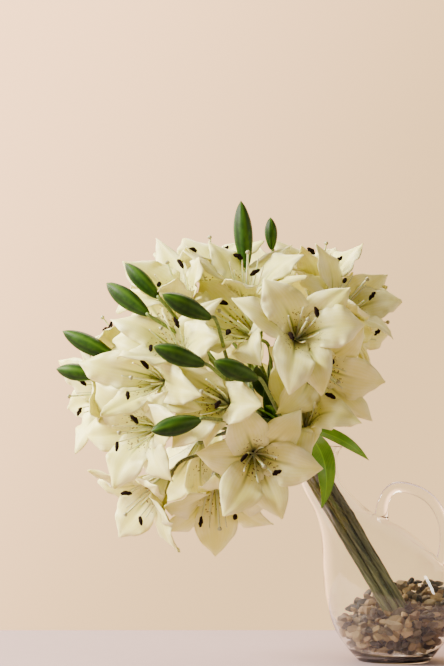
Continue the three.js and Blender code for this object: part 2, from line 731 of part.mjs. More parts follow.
function petalBlade(lily, frame, index) {
  const outer = index % 2;
  const [longer, curlier, aside] = [petalDraw() - 0.5, petalDraw() - 0.5, petalDraw() - 0.5];
  const degrees = lily.turn + 60 * index + PETAL_TURN_VARIES * aside;
  const radial = spoke(THREE.MathUtils.degToRad(degrees), frame.right, frame.up);
  const cone = THREE.MathUtils.degToRad(PETAL_CONE);
  const lean = (axial, side) => (
    frame.axis.clone().multiplyScalar(axial).addScaledVector(radial, side));
  return {
    base: frame.root.clone().add(lean(-PETAL_SETBACKS[outer], PETAL_ROOT)),
    along: lean(Math.cos(cone), Math.sin(cone)),
    face: lean(Math.sin(cone), -Math.cos(cone)),
    length: PETAL_LENGTH * (1 + PETAL_LENGTH_VARIES * longer),
    width: PETAL_WIDTHS[outer],
    outline: petalOutline,
    curl: THREE.MathUtils.degToRad(lily.open - PETAL_CONE + PETAL_CURL_VARIES * curlier),
    power: PETAL_BEND_POWER,
    sweep: 0,
    cup: PETAL_CUPS[outer],
    reflex: 0.3,
    ripple: 0.25,
    phase: 0.5,
  };
}

// The root ring of a petal: two corners that it shares with its neighbours, and
// the middle of either face
function petalRoot(lily, frame, index) {
  const degrees = lily.turn + 60 * index;
  const drop = index % 2 ? -OUTER_ROOT_DROP : 0;
  const half = BLADE_THICKNESS / 2;
  return [
    knobPoint(frame, degrees + 30, CORNER_RADIUS, 0),
    knobPoint(frame, degrees, PETAL_ROOT - half, drop),
    knobPoint(frame, degrees - 30, CORNER_RADIUS, 0),
    knobPoint(frame, degrees, PETAL_ROOT + half, drop),
  ];
}

// The nearest point of any stem above the jug, and that stem's place in the list
function nearestStem(point) {
  const near = stems.map((stem, index) => {
    const spot = vector(0, 0, 0);
    new THREE.Line3(stem.mouth, stem.top).closestPointToPoint(point, true, spot);
    return { index, spot, far: spot.distanceTo(point) };
  });
  return near.reduce((best, entry) => (entry.far < best.far ? entry : best));
}

// A leaf's blade from its base to about its tip, arching away from its upper face
function leafBlade({ base, tip, face, width, curl }) {
  const bend = THREE.MathUtils.degToRad(curl);
  const chord = tip.clone().sub(base);
  const forward = chord.clone().normalize();
  const upper = squareTo(face, forward);
  const lift = bend * LEAF_LIFT;
  return {
    base,
    along: forward.clone().multiplyScalar(Math.cos(lift)).addScaledVector(upper, Math.sin(lift)),
    face: upper.clone().multiplyScalar(Math.cos(lift)).addScaledVector(forward, -Math.sin(lift)),
    length: chord.length() * (1 + bend * bend / LEAF_SLACK),
    width,
    outline: leafOutline,
    curl: bend,
    power: LEAF_BEND_POWER,
    sweep: 0,
    cup: 0.5,
    reflex: 0,
    ripple: 0.12,
    phase: 0.5,
  };
}

// Two leaves more on every stem inside the head, to either side of it
const leafDraw = seededDraw(23);
const headLeaves = stems.flatMap((stem) => HEAD_LEAF_SHARES.map((share, k) => {
  const base = stem.mouth.clone().lerp(stem.top, share);
  const turn = stem.turn + HEAD_LEAF_TURNS[k] + (leafDraw() - 0.5) * HEAD_LEAF_TURN_VARIES;
  const outward = spoke(turn, HEAD_FRONT, HEAD_SIDE);
  const rise = HEAD_LEAF_RISE + HEAD_LEAF_RISE_VARIES * leafDraw();
  const tip = base.clone().addScaledVector(outward, HEAD_LEAF_REACH).addScaledVector(HEAD_AXIS, rise);
  return { base, tip, face: HEAD_AXIS, width: HEAD_LEAF_WIDTH, curl: HEAD_LEAF_CURL };
}));
const shownLeaves = LEAVES.map(({ base, tip, face, width, curl }) => (
  { base: nearestStem(vector(...base)).spot, tip: vector(...tip), face: vector(...face), width, curl }));
for (const leaf of [...shownLeaves, ...headLeaves]) {
  const { index } = nearestStem(leaf.base);
  const blade = leafBlade(leaf);
  const rings = settle(BLADE_YIELDS, stems[index].name, BEND_CLEARANCE, '', (option) => (
    bladeRings(yieldBlade(blade, option), LEAF_STATIONS)));
  if (rings) {
    stemParts[index].push(toSolid(loft(rings)));
  } else {
    console.warn(`no room for a leaf at ${leaf.tip.toArray().map(Math.round)}`);
  }
}

// The lilies: each petal is bent clear of what is already there, and all six are
// one skin with the green knob that they grow out of
const flowers = LILIES.map((lily, number) => {
  const name = lilyName(number);
  placed.splice(placed.findIndex((piece) => piece.owner === `${name} cup`), 1);
  const frame = lilyFrame(lily);
  const skin = [];
  const inside = [];
  const under = [];
  for (let i = 0; i < 6; i += 1) {
    const blade = petalBlade(lily, frame, i);
    const root = petalRoot(lily, frame, i);
    const rings = settle(BLADE_YIELDS, name, BEND_CLEARANCE, knobName(number), (option) => (
      [root, ...bladeRings(yieldBlade(blade, option), PETAL_STATIONS)]));
    skin.push(...(rings ? loft(rings, { hasRoot: false }) : fan(root)));
    if (!rings) {
      console.warn(`${name} petal ${i + 1} has no room`);
    }
    inside.push(root[1], root[0]);
    const [left, bottom, right] = [root[0], root[3], root[2]];
    const lowLeft = knobPoint(frame, lily.turn + 60 * i + 30, KNOB_RADIUS, -KNOB_BELOW);
    const lowRight = knobPoint(frame, lily.turn + 60 * i - 30, KNOB_RADIUS, -KNOB_BELOW);
    skin.push([right, lowRight, bottom], [bottom, lowRight, lowLeft], [bottom, lowLeft, left]);
    under.unshift(lowLeft);
  }
  skin.push(...fan(inside), ...fan(under));
  return { name, solid: toSolid(skin) };
});

// The stamens: a short base in the throat, six filaments and the longer pistil. One
// filament in three has kept its anther, and the others end bare.
const FILAMENT_YIELDS = [];
for (const size of [1, 0.85, 0.7]) {
  for (const spread of [0, -5, 4, -10, -16]) {
    for (const turn of [0, 14, -14, 26, -26]) {
      FILAMENT_YIELDS.push({ size, spread, turn });
    }
  }
}

const stamens = LILIES.map((lily, number) => {
  const name = `${flowers[number].name}_stamens`;
  const frame = lilyFrame(lily);
  const corners = [0, 1, 2, 3, 4, 5].map((i) => (
    knobPoint(frame, lily.turn + 60 * i, STAMEN_ROOT_RADIUS, MESH_GAP)));
  const crown = [60, 180, 300].map((turn) => (
    knobPoint(frame, lily.turn + turn, STAMEN_CROWN_RADIUS, MESH_GAP + STAMEN_CROWN_HEIGHT)));
  const base = [...corners].reverse();
  const skin = fan(base);
  for (let i = 0; i < 3; i += 1) {
    skin.push([corners[2 * i], crown[i], crown[(i + 2) % 3]]);
  }
  for (let i = 0; i <= FILAMENT_COUNT; i += 1) {
    const isPistil = i === FILAMENT_COUNT;
    const root = isPistil ? crown : [corners[i], corners[(i + 1) % 6], crown[Math.floor(i / 2)]];
    const middle = root[0].clone().add(root[1]).add(root[2]).divideScalar(3);
    const make = ({ size, spread, turn }) => {
      const lean = THREE.MathUtils.degToRad(isPistil ? 2 + turn / 4 : FILAMENT_SPREAD + spread);
      const angle = THREE.MathUtils.degToRad(lily.turn + 30 + 60 * i + turn);
      const radial = spoke(angle, frame.right, frame.up);
      const direction = frame.axis.clone().multiplyScalar(Math.cos(lean))
        .addScaledVector(radial, Math.sin(lean));
      const length = (isPistil ? PISTIL_LENGTH : FILAMENT_LENGTH) * size;
      const end = middle.clone().addScaledVector(direction, length);
      const across = frame.axis.clone().cross(radial).multiplyScalar(0.8)
        .addScaledVector(direction, 0.6).normalize();
      if (isPistil) {
        return filamentRings(root, end, PISTIL_RADIUS, direction, STIGMA_RADIUS * 2, STIGMA_RADIUS);
      }
      return (number + i) % ANTHER_EVERY === 0
        ? filamentRings(root, end, FILAMENT_RADIUS, across, ANTHER_LENGTH, ANTHER_RADIUS)
        : filamentRings(root, end, FILAMENT_RADIUS, direction, BARE_TIP_LENGTH, BARE_TIP_RADIUS);
    };
    const rings = settle(FILAMENT_YIELDS, name, FILAMENT_CLEARANCE, knobName(number), make);
    skin.push(...(rings ? loft(rings, { hasRoot: false }) : fan(root)));
    if (!rings) {
      console.warn(`${name} ${i + 1} has no room`);
    }
  }
  return { name, solid: toSolid(skin) };
});

const bouquet = new THREE.Group();
bouquet.add(toMesh('jug', jugSolid, GLASS));
const holes = stems.map((stem) => (
  rod([stem.foot.clone().addScaledVector(footAxis, -MESH_GAP), stem.neck],
    STEM_RADIUS + HOLE_CLEARANCE, 6, 1)));
bouquet.add(toMesh('pebbles', pebbleBed(holes), GRAVEL));
stems.forEach((stem, index) => {
  bouquet.add(toMesh(stem.name, fuse(stemParts[index]), STALK_GREEN));
});
for (const { name, solid } of flowers) {
  bouquet.add(toMesh(name, solid, PETAL_IVORY));
}
for (const { name, solid } of stamens) {
  bouquet.add(toMesh(name, solid, ANTHER_BROWN));
}

export default bouquet;
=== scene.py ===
# White lilies in a clear glass jug, dressed round the fixed solids.
# Lengths are metres, +Z is up, and the origin is the centre of the jug's foot.

import math

import bpy
import numpy as np
from mathutils.bvhtree import BVHTree
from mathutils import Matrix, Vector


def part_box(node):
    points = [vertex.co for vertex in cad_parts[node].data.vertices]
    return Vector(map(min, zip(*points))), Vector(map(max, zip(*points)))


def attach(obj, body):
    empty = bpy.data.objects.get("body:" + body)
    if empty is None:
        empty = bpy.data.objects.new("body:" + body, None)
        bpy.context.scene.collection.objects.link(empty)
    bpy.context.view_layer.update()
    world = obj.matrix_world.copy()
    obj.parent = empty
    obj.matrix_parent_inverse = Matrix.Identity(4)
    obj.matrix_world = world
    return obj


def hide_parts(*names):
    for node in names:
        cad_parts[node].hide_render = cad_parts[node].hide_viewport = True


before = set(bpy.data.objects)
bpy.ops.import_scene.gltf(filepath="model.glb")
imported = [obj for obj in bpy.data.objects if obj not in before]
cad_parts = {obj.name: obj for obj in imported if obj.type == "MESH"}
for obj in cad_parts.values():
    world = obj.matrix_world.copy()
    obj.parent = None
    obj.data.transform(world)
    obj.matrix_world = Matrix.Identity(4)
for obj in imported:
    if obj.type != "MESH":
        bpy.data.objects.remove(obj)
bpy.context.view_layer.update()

bpy.ops.object.select_all(action="DESELECT")


# The camera, the room's light and the table that the jug stands on, a plain pale board
# whose far edge shows low behind the jug. The wall behind glows warm cream, the room
# before the jug is dimmer, and the main light comes broad and warm from the upper left.
CAMERA_PLACE = (-0.203, -2.0, 0.230)
CAMERA_TILT = math.radians(94.5)
CAMERA_LENS = 90.4
TABLE_WIDTH = 8.0
TABLE_DEPTH = 4.0
TABLE_FAR_EDGE = 0.36
TABLE_TOP = -0.0003
WALL_LOW = (1.9, 1.19, 0.54, 1)
WALL_HIGH = (4.2, 2.4, 1.25, 1)
ROOM_FRONT = (0.23, 0.20, 0.155, 1)
LIGHTS_AIM = (-0.15, 0, 0.3)
LIGHTS = [
    # place, width, height, watts, colour
    ((-2.7, -0.75, 1.9), 1.3, 1.3, 430, (1.0, 0.92, 0.80)),
    ((2.0, -0.5, 0.85), 0.22, 0.7, 12, (1.0, 0.93, 0.84)),
    ((-1.7, 0.75, 0.9), 0.45, 0.9, 40, (1.0, 0.93, 0.82)),
    ((-0.5, 1.3, 2.1), 1.8, 1.8, 60, (1.0, 0.91, 0.76)),
]


class Wire:
    """A socket in a material's nodes. Arithmetic on a wire adds Math nodes."""

    def __init__(self, tree, socket=None):
        self.tree = tree
        self.socket = socket

    def node(self, kind, settings=(), sockets=(), output=0):
        made = self.tree.nodes.new("ShaderNode" + kind)
        for name, value in dict(settings).items():
            if name == "stops":
                set_stops(made.color_ramp, value)
            else:
                setattr(made, name, value)
        for name, value in dict(sockets).items():
            self.feed(made.inputs[name], value)
        return Wire(self.tree, made.outputs[output])

    def feed(self, socket, value):
        if isinstance(value, Wire):
            self.tree.links.new(value.socket, socket)
        else:
            socket.default_value = value

    def maths(self, operation, *values):
        return self.node("Math", {"operation": operation}, dict(enumerate(values)))

    def sine(self):
        return self.maths("SINE", self)

    def cosine(self):
        return self.maths("COSINE", self)

    def size(self):
        return self.maths("ABSOLUTE", self)

    def __add__(self, other):
        return self.maths("ADD", self, other)

    def __radd__(self, other):
        return self.maths("ADD", other, self)

    def __sub__(self, other):
        return self.maths("SUBTRACT", self, other)

    def __rsub__(self, other):
        return self.maths("SUBTRACT", other, self)

    def __mul__(self, other):
        return self.maths("MULTIPLY", self, other)

    def __rmul__(self, other):
        return self.maths("MULTIPLY", other, self)

    def __pow__(self, other):
        return self.maths("POWER", self, other)

    def __lt__(self, other):
        return self.maths("LESS_THAN", self, other)

    def rise(self, low, high):
        """From 0 at low to 1 at high, eased at both ends."""
        return self.node("MapRange", {"interpolation_type": "SMOOTHSTEP"},
                         {"Value": self, "From Min": low, "From Max": high})

    def tint(self, colour_off, colour_on):
        """One colour where this wire is 0, the other where it is 1."""
        return self.node("Mix", {"data_type": "RGBA"}, {0: self, 6: colour_off, 7: colour_on}, 2)

    def place(self):
        """Where on the object a point lies, in metres."""
        return self.node("TexCoord", output=3)

    def across_and_along(self):
        """How far across a blade or round a bud, and how far along it, from 0 to 1."""
        spread = self.node("TexCoord", output=2)
        return (self.node("SeparateXYZ", {}, {"Vector": spread}, axis) for axis in range(2))

    def noise(self, place, scale, detail):
        return self.node("TexNoise", {}, {"Vector": place, "Scale": scale, "Detail": detail})

    def bump(self, height, strength, distance):
        return self.node("Bump", {}, {"Height": height, "Strength": strength, "Distance": distance})


def set_stops(ramp, stops):
    for place, _ in stops[1:-1]:
        ramp.elements.new(place)
    ramp.elements[0].position = stops[0][0]
    ramp.elements[-1].position = stops[-1][0]
    for element, (_, colour) in zip(ramp.elements, stops):
        element.color = (*colour, 1)


def new_finish(name, surface):
    """A material with the values and wires that the function surface returns."""
    material = bpy.data.materials.new(name)
    material.use_nodes = True
    wire = Wire(material.node_tree)
    shader = material.node_tree.nodes["Principled BSDF"]
    for socket, value in surface(wire).items():
        wire.feed(shader.inputs[socket], value)
    return material


def table_surface(wire):
    grain = wire.noise(wire.place(), 40.0, 4.0)
    return {"Base Color": grain.tint((0.35, 0.265, 0.28, 1), (0.385, 0.29, 0.305, 1)),
            "Roughness": 0.6, "Specular IOR Level": 0.2}


bpy.ops.mesh.primitive_plane_add(size=1, location=(0, 0, TABLE_TOP))
table = bpy.context.object
table.name = "table"
table.scale = (TABLE_WIDTH, TABLE_DEPTH, 1)
table.location.y = TABLE_FAR_EDGE - TABLE_DEPTH / 2
bpy.ops.object.transform_apply(location=True, rotation=False, scale=True)
table.data.materials.append(new_finish("pale_table", table_surface))

room = bpy.data.worlds.new("room")
bpy.context.scene.world = room
room.use_nodes = True
room_wire = Wire(room.node_tree)
towards = room_wire.node("TexCoord")
right, back, up = (room_wire.node("SeparateXYZ", {}, {"Vector": towards}, axis) for axis in range(3))
wall = (0.6 * up - right).rise(-0.1, 0.4).tint(WALL_LOW, WALL_HIGH)
room_wire.feed(room.node_tree.nodes["Background"].inputs["Color"],
               back.rise(0.05, 0.9).tint(ROOM_FRONT, wall))

for place, width, height, watts, colour in LIGHTS:
    bpy.ops.object.light_add(type="AREA", location=place)
    lamp = bpy.context.object
    lamp.data.shape = "RECTANGLE"
    lamp.data.size = width
    lamp.data.size_y = height
    lamp.data.energy = watts
    lamp.data.color = colour
    aim = np.array(LIGHTS_AIM) - np.array(place)
    lamp.rotation_euler = (math.atan2(math.hypot(aim[0], aim[1]), -aim[2]), 0,
                           math.atan2(aim[1], aim[0]) - math.pi / 2)

bpy.ops.object.camera_add(location=CAMERA_PLACE, rotation=(CAMERA_TILT, 0, 0))
bpy.context.object.data.lens = CAMERA_LENS
bpy.context.scene.camera = bpy.context.object


# The jug: blown clear glass, round and squat, with a narrow neck drawn out to the
# left and a solid loop handle fused to its shoulder. Its foot is flat. Each ring of
# the glass is given by its left and right ends seen from the front, foot to mouth.
GLASS_RINGS = [
    (-0.0425, 0.0, 0.0425, 0.0),
    (-0.054, 0.013, 0.053, 0.0125),
    (-0.0665, 0.030, 0.0655, 0.029),
    (-0.076, 0.054, 0.0755, 0.050),
    (-0.0815, 0.081, 0.0755, 0.074),
    (-0.0835, 0.105, 0.0665, 0.0995),
    (-0.084, 0.129, 0.051, 0.122),
    (-0.0855, 0.1465, 0.037, 0.136),
    (-0.0885, 0.162, 0.018, 0.1515),
    (-0.0935, 0.176, -0.0055, 0.1645),
    (-0.0995, 0.188, -0.028, 0.176),
    (-0.1045, 0.1975, -0.047, 0.193),
    (-0.1085, 0.206, -0.061, 0.2105),
    (-0.115, 0.220, -0.0655, 0.227),
    (-0.123, 0.238, -0.0645, 0.2415),
    (-0.1345, 0.2545, -0.059, 0.2515),
]
GLASS_WALL = 0.003
GLASS_FLOOR = 0.006
GLASS_SIDES = 72
GLASS_STEPS = 5
GLASS_EDGE_ANGLE = 35
HANDLE_LINE = [
    (-0.014, 0.163), (-0.012, 0.182), (-0.0055, 0.1965), (0.0055, 0.2035),
    (0.022, 0.2015), (0.0385, 0.194), (0.0515, 0.181), (0.060, 0.162),
    (0.062, 0.141), (0.058, 0.117), (0.050, 0.095),
]
HANDLE_RADIUS = 0.0065
HANDLE_FLARE = 0.55
HANDLE_FLARE_REACH = 0.06
HANDLE_SIDES = 28
HANDLE_STEPS = 4


def smooth_through(knots, steps):
    """A smooth row of points through the knots, with so many steps to a stretch."""
    knots = np.array(knots, float)
    ends = (2 * knots[0] - knots[1], 2 * knots[-1] - knots[-2])
    padded = np.vstack([ends[0], knots, ends[1]])
    t = np.arange(steps)[:, None] / steps
    rows = []
    for a, b, c, d in zip(padded, padded[1:], padded[2:], padded[3:]):
        rows.append(b + t * (c - a) / 2 + t ** 2 * (a - 2.5 * b + 2 * c - d / 2)
                    + t ** 3 * (1.5 * (b - c) + (d - a) / 2))
    return np.vstack([*rows, knots[-1:]])


def rolled_skin(name, rings):
    """A closed skin over rings of points: a grid rolled up, its ends filled."""
    rings = np.asarray(rings)
    count, sides = rings.shape[:2]
    bpy.ops.mesh.primitive_grid_add(x_subdivisions=sides, y_subdivisions=count - 1, size=1)
    piece = bpy.context.object
    piece.name = name
    flat = np.array([vertex.co for vertex in piece.data.vertices])
    column = np.rint((flat[:, 0] + 0.5) * sides).astype(int) % sides
    row = np.rint((flat[:, 1] + 0.5) * (count - 1)).astype(int)
    piece.data.vertices.foreach_set("co", rings[row, column].ravel())
    bpy.ops.object.mode_set(mode="EDIT")
    bpy.ops.mesh.select_all(action="SELECT")
    bpy.ops.mesh.remove_doubles(threshold=1e-6)
    bpy.ops.mesh.fill_holes(sides=0)
    bpy.ops.mesh.normals_make_consistent(inside=False)
    bpy.ops.object.mode_set(mode="OBJECT")
    piece.data.shade_smooth()
    return piece


def glass_skin(inset, floor_height, extra_rings=0):
    knots = np.array(GLASS_RINGS)
    knots[0, [1, 3]] += floor_height
    for _ in range(extra_rings):
        knots = np.vstack([knots, 2 * knots[-1] - knots[-2]])
    line = smooth_through(knots, GLASS_STEPS)
    left, right = line[:, :2], line[:, 2:]
    middle = (left + right) / 2
    width = np.linalg.norm(right - left, axis=1, keepdims=True)
    across = (right - left) / width
    reach = width / 2 - inset
    turn = 2 * np.pi * np.arange(GLASS_SIDES) / GLASS_SIDES
    return np.stack([middle[:, :1] + across[:, :1] * reach * np.cos(turn),
                     reach * np.sin(turn),
                     middle[:, 1:] + across[:, 1:] * reach * np.cos(turn)], axis=-1)


def handle_skin():
    line = smooth_through(HANDLE_LINE, HANDLE_STEPS)
    heading = np.gradient(line, axis=0)
    heading /= np.linalg.norm(heading, axis=1, keepdims=True)
    along = np.linspace(0, 1, len(line))
    flare = np.exp(-along / HANDLE_FLARE_REACH) + np.exp((along - 1) / HANDLE_FLARE_REACH)
    radius = HANDLE_RADIUS * (1 + HANDLE_FLARE * flare)[:, None]
    turn = 2 * np.pi * np.arange(HANDLE_SIDES) / HANDLE_SIDES
    return np.stack([line[:, :1] - heading[:, 1:] * radius * np.cos(turn),
                     radius * np.sin(turn),
                     line[:, 1:] + heading[:, :1] * radius * np.cos(turn)], axis=-1)


def cut_or_join(piece, other, operation):
    """Joins the other solid to the piece, or cuts it out, and removes it."""
    bpy.context.view_layer.objects.active = piece
    change = piece.modifiers.new("change", "BOOLEAN")
    change.operation = operation
    change.object = other
    change.solver = "EXACT"
    bpy.ops.object.modifier_apply(modifier=change.name)
    bpy.data.objects.remove(other)


def clear_glass(wire):
    waves = wire.noise(wire.place(), 22.0, 1.0)
    return {"Base Color": (0.97, 0.985, 0.975, 1), "Roughness": 0.0, "IOR": 1.5,
            "Transmission Weight": 1.0, "Normal": wire.bump(waves, 0.12, 0.004)}


def stands_for(piece, node):
    """Puts the finished piece in its fixed solid's place."""
    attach(piece, "root")
    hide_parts(node)


clear_jug = rolled_skin("clear_jug", glass_skin(0, 0))
cut_or_join(clear_jug, rolled_skin("handle", handle_skin()), "UNION")
cut_or_join(clear_jug, rolled_skin("hollow", glass_skin(GLASS_WALL, GLASS_FLOOR, 1)), "DIFFERENCE")
bpy.ops.object.select_all(action="DESELECT")
clear_jug.select_set(True)
bpy.ops.object.shade_smooth_by_angle(angle=math.radians(GLASS_EDGE_ANGLE))
clear_jug.data.materials.append(new_finish("clear_glass", clear_glass))
stands_for(clear_jug, "jug")


# The stems: eight cut lily stems, olive green, straight from their cut feet in the
# pebbles through the neck, and fanned out in the head. Inside the jug they darken
# towards the neck with painted shade. Each carries three lilies and some buds on thin
# green stalks.
STEM_FOOT = np.array([0.017, 0, 0.035])
STEM_NECK = np.array([-0.087, 0, 0.212])
HEAD_CENTRE = np.array([-0.208, 0, 0.340])
STEM_COUNT = 8
STEM_RADIUS = 0.0037
STEM_RING = 0.0104
STEM_CLEAR_OF_MOUTH = 0.058
STEM_SPREAD = 0.034
STEM_TOP_SHORT = 0.028
STEM_STEPS = 30
STEM_SEED = 5
STEM_SWELL = 1.04
STEM_SWELL_VARIES = 0.05
STALK_RADIUS = 0.0024
STALK_REACH = 0.070
STALK_RUN_IN = 0.024
STALK_BOWS = (0, 0.010, 0.020, 0.032)
STALK_SHIFTS = (0, -0.2, 0.2, -0.4, 0.4)
STALK_STEPS = 9
BUD_RUN_IN = 0.010
BUD_SEAT = 0.002
THROAT_DEPTH = 0.012
KNOB_BELOW = 0.006
SEAT_GAP = 0.0003

# Every open lily: its throat, the way it faces, the turn of its first petal in
# degrees, and how far its petal tips have opened from its own axis
LILIES = [
    ((-0.116, -0.088, 0.377), (0.1, -0.97, 0.2), 2, 118),
    ((-0.165, -0.078, 0.240), (0.1, -0.95, -0.2), -8, 118),
    ((-0.172, -0.072, 0.382), (-0.55, -0.75, 0.3), 0, 104),
    ((-0.284, -0.068, 0.271), (-0.55, -0.8, -0.1), 10, 114),
    ((-0.201, -0.100, 0.300), (-0.45, -0.85, 0.1), -10, 129),
    ((-0.096, -0.052, 0.345), (0.35, -0.85, -0.35), -12, 109),
    ((-0.253, -0.088, 0.357), (-0.3, -0.85, 0.35), 0, 104),
    ((-0.210, -0.027, 0.206), (0.05, -0.6, -0.8), 30, 91),
    ((-0.274, -0.026, 0.211), (-0.65, -0.45, -0.6), 20, 89),
    ((-0.109, -0.048, 0.278), (-0.1, -0.75, 0.6), 0, 109),
    ((-0.070, -0.019, 0.407), (0.55, -0.55, 0.6), 20, 85),
    ((-0.175, -0.065, 0.420), (0, -0.6, 0.8), 15, 79),
    ((-0.276, -0.082, 0.325), (-0.45, -0.85, 0), 15, 98),
    ((-0.213, -0.016, 0.439), (-0.1, -0.4, 0.9), 0, 79),
    ((-0.090, -0.006, 0.433), (0.15, -0.35, 0.9), 30, 77),
    ((-0.248, -0.046, 0.415), (-0.3, -0.6, 0.7), 10, 81),
    ((-0.065, 0.025, 0.397), (0.85, -0.2, 0.05), 10, 91),
    ((-0.309, 0.013, 0.356), (-0.6, -0.1, 0.75), 0, 83),
    ((-0.324, -0.011, 0.315), (-0.9, -0.35, -0.1), 30, 91),
    ((-0.156, 0.078, 0.426), (0.3, 0.6, 0.75), 0, 89),
    ((-0.101, 0.076, 0.345), (0.6, 0.8, 0), 20, 89),
    ((-0.269, 0.077, 0.391), (-0.4, 0.7, 0.55), 10, 89),
    ((-0.194, 0.107, 0.338), (0.05, 1, -0.05), 0, 94),
    ((-0.233, 0.072, 0.249), (-0.2, 0.75, -0.6), 15, 89),
]

# Every closed bud: its base, its tip and its width
BUDS = [
    ((-0.175, -0.060, 0.459), (-0.181, -0.070, 0.537), 0.022),
    ((-0.144, -0.040, 0.483), (-0.146, -0.045, 0.521), 0.015),
    ((-0.276, -0.095, 0.421), (-0.315, -0.085, 0.462), 0.019),
    ((-0.287, -0.112, 0.400), (-0.336, -0.092, 0.438), 0.022),
    ((-0.216, -0.155, 0.392), (-0.269, -0.180, 0.416), 0.022),
    ((-0.223, -0.165, 0.340), (-0.278, -0.190, 0.358), 0.022),
    ((-0.165, -0.150, 0.325), (-0.212, -0.185, 0.342), 0.022),
    ((-0.227, -0.160, 0.279), (-0.280, -0.185, 0.266), 0.022),
    ((-0.327, -0.060, 0.354), (-0.390, -0.050, 0.386), 0.022),
    ((-0.348, -0.050, 0.334), (-0.398, -0.040, 0.342), 0.020),
]


def skin_tree(mesh):
    return BVHTree.FromPolygons([vertex.co[:] for vertex in mesh.vertices],
                                [face.vertices[:] for face in mesh.polygons])


def unit(direction):
    direction = np.asarray(direction, float)
    return direction / np.linalg.norm(direction)


def square_to(direction, axis):
    direction = np.asarray(direction, float)
    return unit(direction - axis * (direction @ axis))


def spoke(angle, front, side):
    return np.cos(angle) * front + np.sin(angle) * side


HEAD_AXIS = unit(HEAD_CENTRE - STEM_NECK)
HEAD_FRONT = square_to((0, -1, 0), HEAD_AXIS)
HEAD_SIDE = np.cross(HEAD_AXIS, HEAD_FRONT)


def head_turn(point):
    arm = np.asarray(point) - HEAD_CENTRE
    return math.atan2(arm @ HEAD_SIDE, arm @ HEAD_FRONT)


def lily_frame(number):
    """A lily's root, its axis and the two directions that its petals turn about."""
    throat, faces, _, _ = LILIES[number]
    axis = unit(faces)
    right = square_to((1, 0, 0), axis)
    return np.array(throat) - THROAT_DEPTH * axis, axis, right, np.cross(axis, right)


def make_stems():
    by_turn = sorted(range(len(LILIES)), key=lambda number: head_turn(LILIES[number][0]))
    first_turn = sum(head_turn(LILIES[number][0]) for number in by_turn[:3]) / 3
    axis = unit(STEM_NECK - STEM_FOOT)
    front = square_to((0, -1, 0), axis)
    side = np.cross(axis, front)
    stems = []
    for index in range(STEM_COUNT):
        turn = first_turn + 2 * math.pi * index / STEM_COUNT
        offset = STEM_RING * spoke(turn, front, side)
        stems.append({
            "node": f"stem_{index + 1}",
            "turn": turn,
            "foot": STEM_FOOT + offset,
            "mouth": STEM_NECK + offset + STEM_CLEAR_OF_MOUTH * axis,
            "top": HEAD_CENTRE - STEM_TOP_SHORT * HEAD_AXIS
                   + STEM_SPREAD * spoke(turn, HEAD_FRONT, HEAD_SIDE),
            "lilies": by_turn[3 * index:3 * index + 3],
            "buds": [],
            "tree": skin_tree(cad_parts[f"stem_{index + 1}"].data),
        })
    for bud in BUDS:
        turn = head_turn(bud[0])
        off = [abs(math.remainder(stem["turn"] - turn, 2 * math.pi)) for stem in stems]
        stems[off.index(min(off))]["buds"].append(bud)
    return stems


def stalk_lines(stem, end, direction, run_in):
    """Every way that a stalk may take from its stem to the end, bowed to any side."""
    level = (end - stem["mouth"]) @ HEAD_AXIS - STALK_REACH
    run = stem["top"] - stem["mouth"]
    behind = end - run_in * direction
    for bow in STALK_BOWS:
        for shift in STALK_SHIFTS:
            for way in (0,) if bow == 0 else range(0, 360, 60):
                share = min(max(level / np.linalg.norm(run) + shift, 0.05), 0.98)
                start = stem["mouth"] + share * run
                aside = bow * spoke(math.radians(way), HEAD_FRONT, HEAD_SIDE)
                yield smooth_through([start, (start + behind) / 2 + aside, behind, end], STALK_STEPS)


def stalk_in_solid(stem, end, direction, run_in):
    """The way that lies in the stem's own solid."""
    def out_of_solid(line):
        return sum(max(stem["tree"].find_nearest(point)[3] - STALK_RADIUS, 0) for point in line)
    return min(stalk_lines(stem, end, direction, run_in), key=out_of_solid)


def rods(name, lines, sides=12):
    """Round rods along lines of points, each given with its radius at every point."""
    curve = bpy.data.curves.new(name, "CURVE")
    curve.dimensions = "3D"
    curve.bevel_depth = 1
    curve.bevel_resolution = sides // 4 - 1
    curve.use_fill_caps = True
    for points, radii in lines:
        spline = curve.splines.new("POLY")
        spline.points.add(len(points) - 1)
        spline.points.foreach_set("co", np.column_stack([points, np.ones(len(points))]).ravel())
        spline.points.foreach_set("radius", np.broadcast_to(radii, len(points)).astype(float))
    piece = bpy.data.objects.new(name, curve)
    bpy.context.scene.collection.objects.link(piece)
    bpy.ops.object.select_all(action="DESELECT")
    piece.select_set(True)
    bpy.context.view_layer.objects.active = piece
    bpy.ops.object.convert(target="MESH")
    piece = bpy.context.object
    piece.data.shade_smooth()
    return piece


def stem_green(wire):
    place = wire.place()
    lean = math.atan2(HEAD_CENTRE[0] - STEM_FOOT[0], HEAD_CENTRE[2] - STEM_FOOT[2])
    grain = wire.node("Mapping", {"vector_type": "TEXTURE"},
                      {"Vector": place, "Rotation": (0, lean, 0), "Scale": (0.0022, 0.0022, 0.12)})
    streak = wire.noise(grain, 1.0, 3.0)
    cloud = wire.noise(place, 30.0, 2.0)
    height = wire.node("SeparateXYZ", {}, {"Vector": place}, 2)
    light_streak = streak.rise(0.3, 0.7)
    olive = light_streak.tint((0.065, 0.083, 0.024, 1), (0.26, 0.29, 0.110, 1))
    # The dark tint is the olive made much darker: painted shade on the stems crowded in the jug's upper
    # body and neck.
    dark = light_streak.tint((0.034, 0.034, 0.012, 1), (0.15, 0.145, 0.050, 1))
    fresh = light_streak.tint((0.085, 0.15, 0.020, 1), (0.21, 0.30, 0.060, 1))
    # Olive low in the jug, turning to the painted shade as the stems rise into the neck.
    olive_to_painted_shade = height.rise(0.09, 0.20).tint(olive, dark)
    colour = (height + 0.08 * cloud).rise(0.25, 0.36).tint(olive_to_painted_shade, fresh)
    return {"Base Color": colour, "Roughness": 0.38 + 0.2 * cloud,
            "Normal": wire.bump(streak, 0.25, 0.0005)}


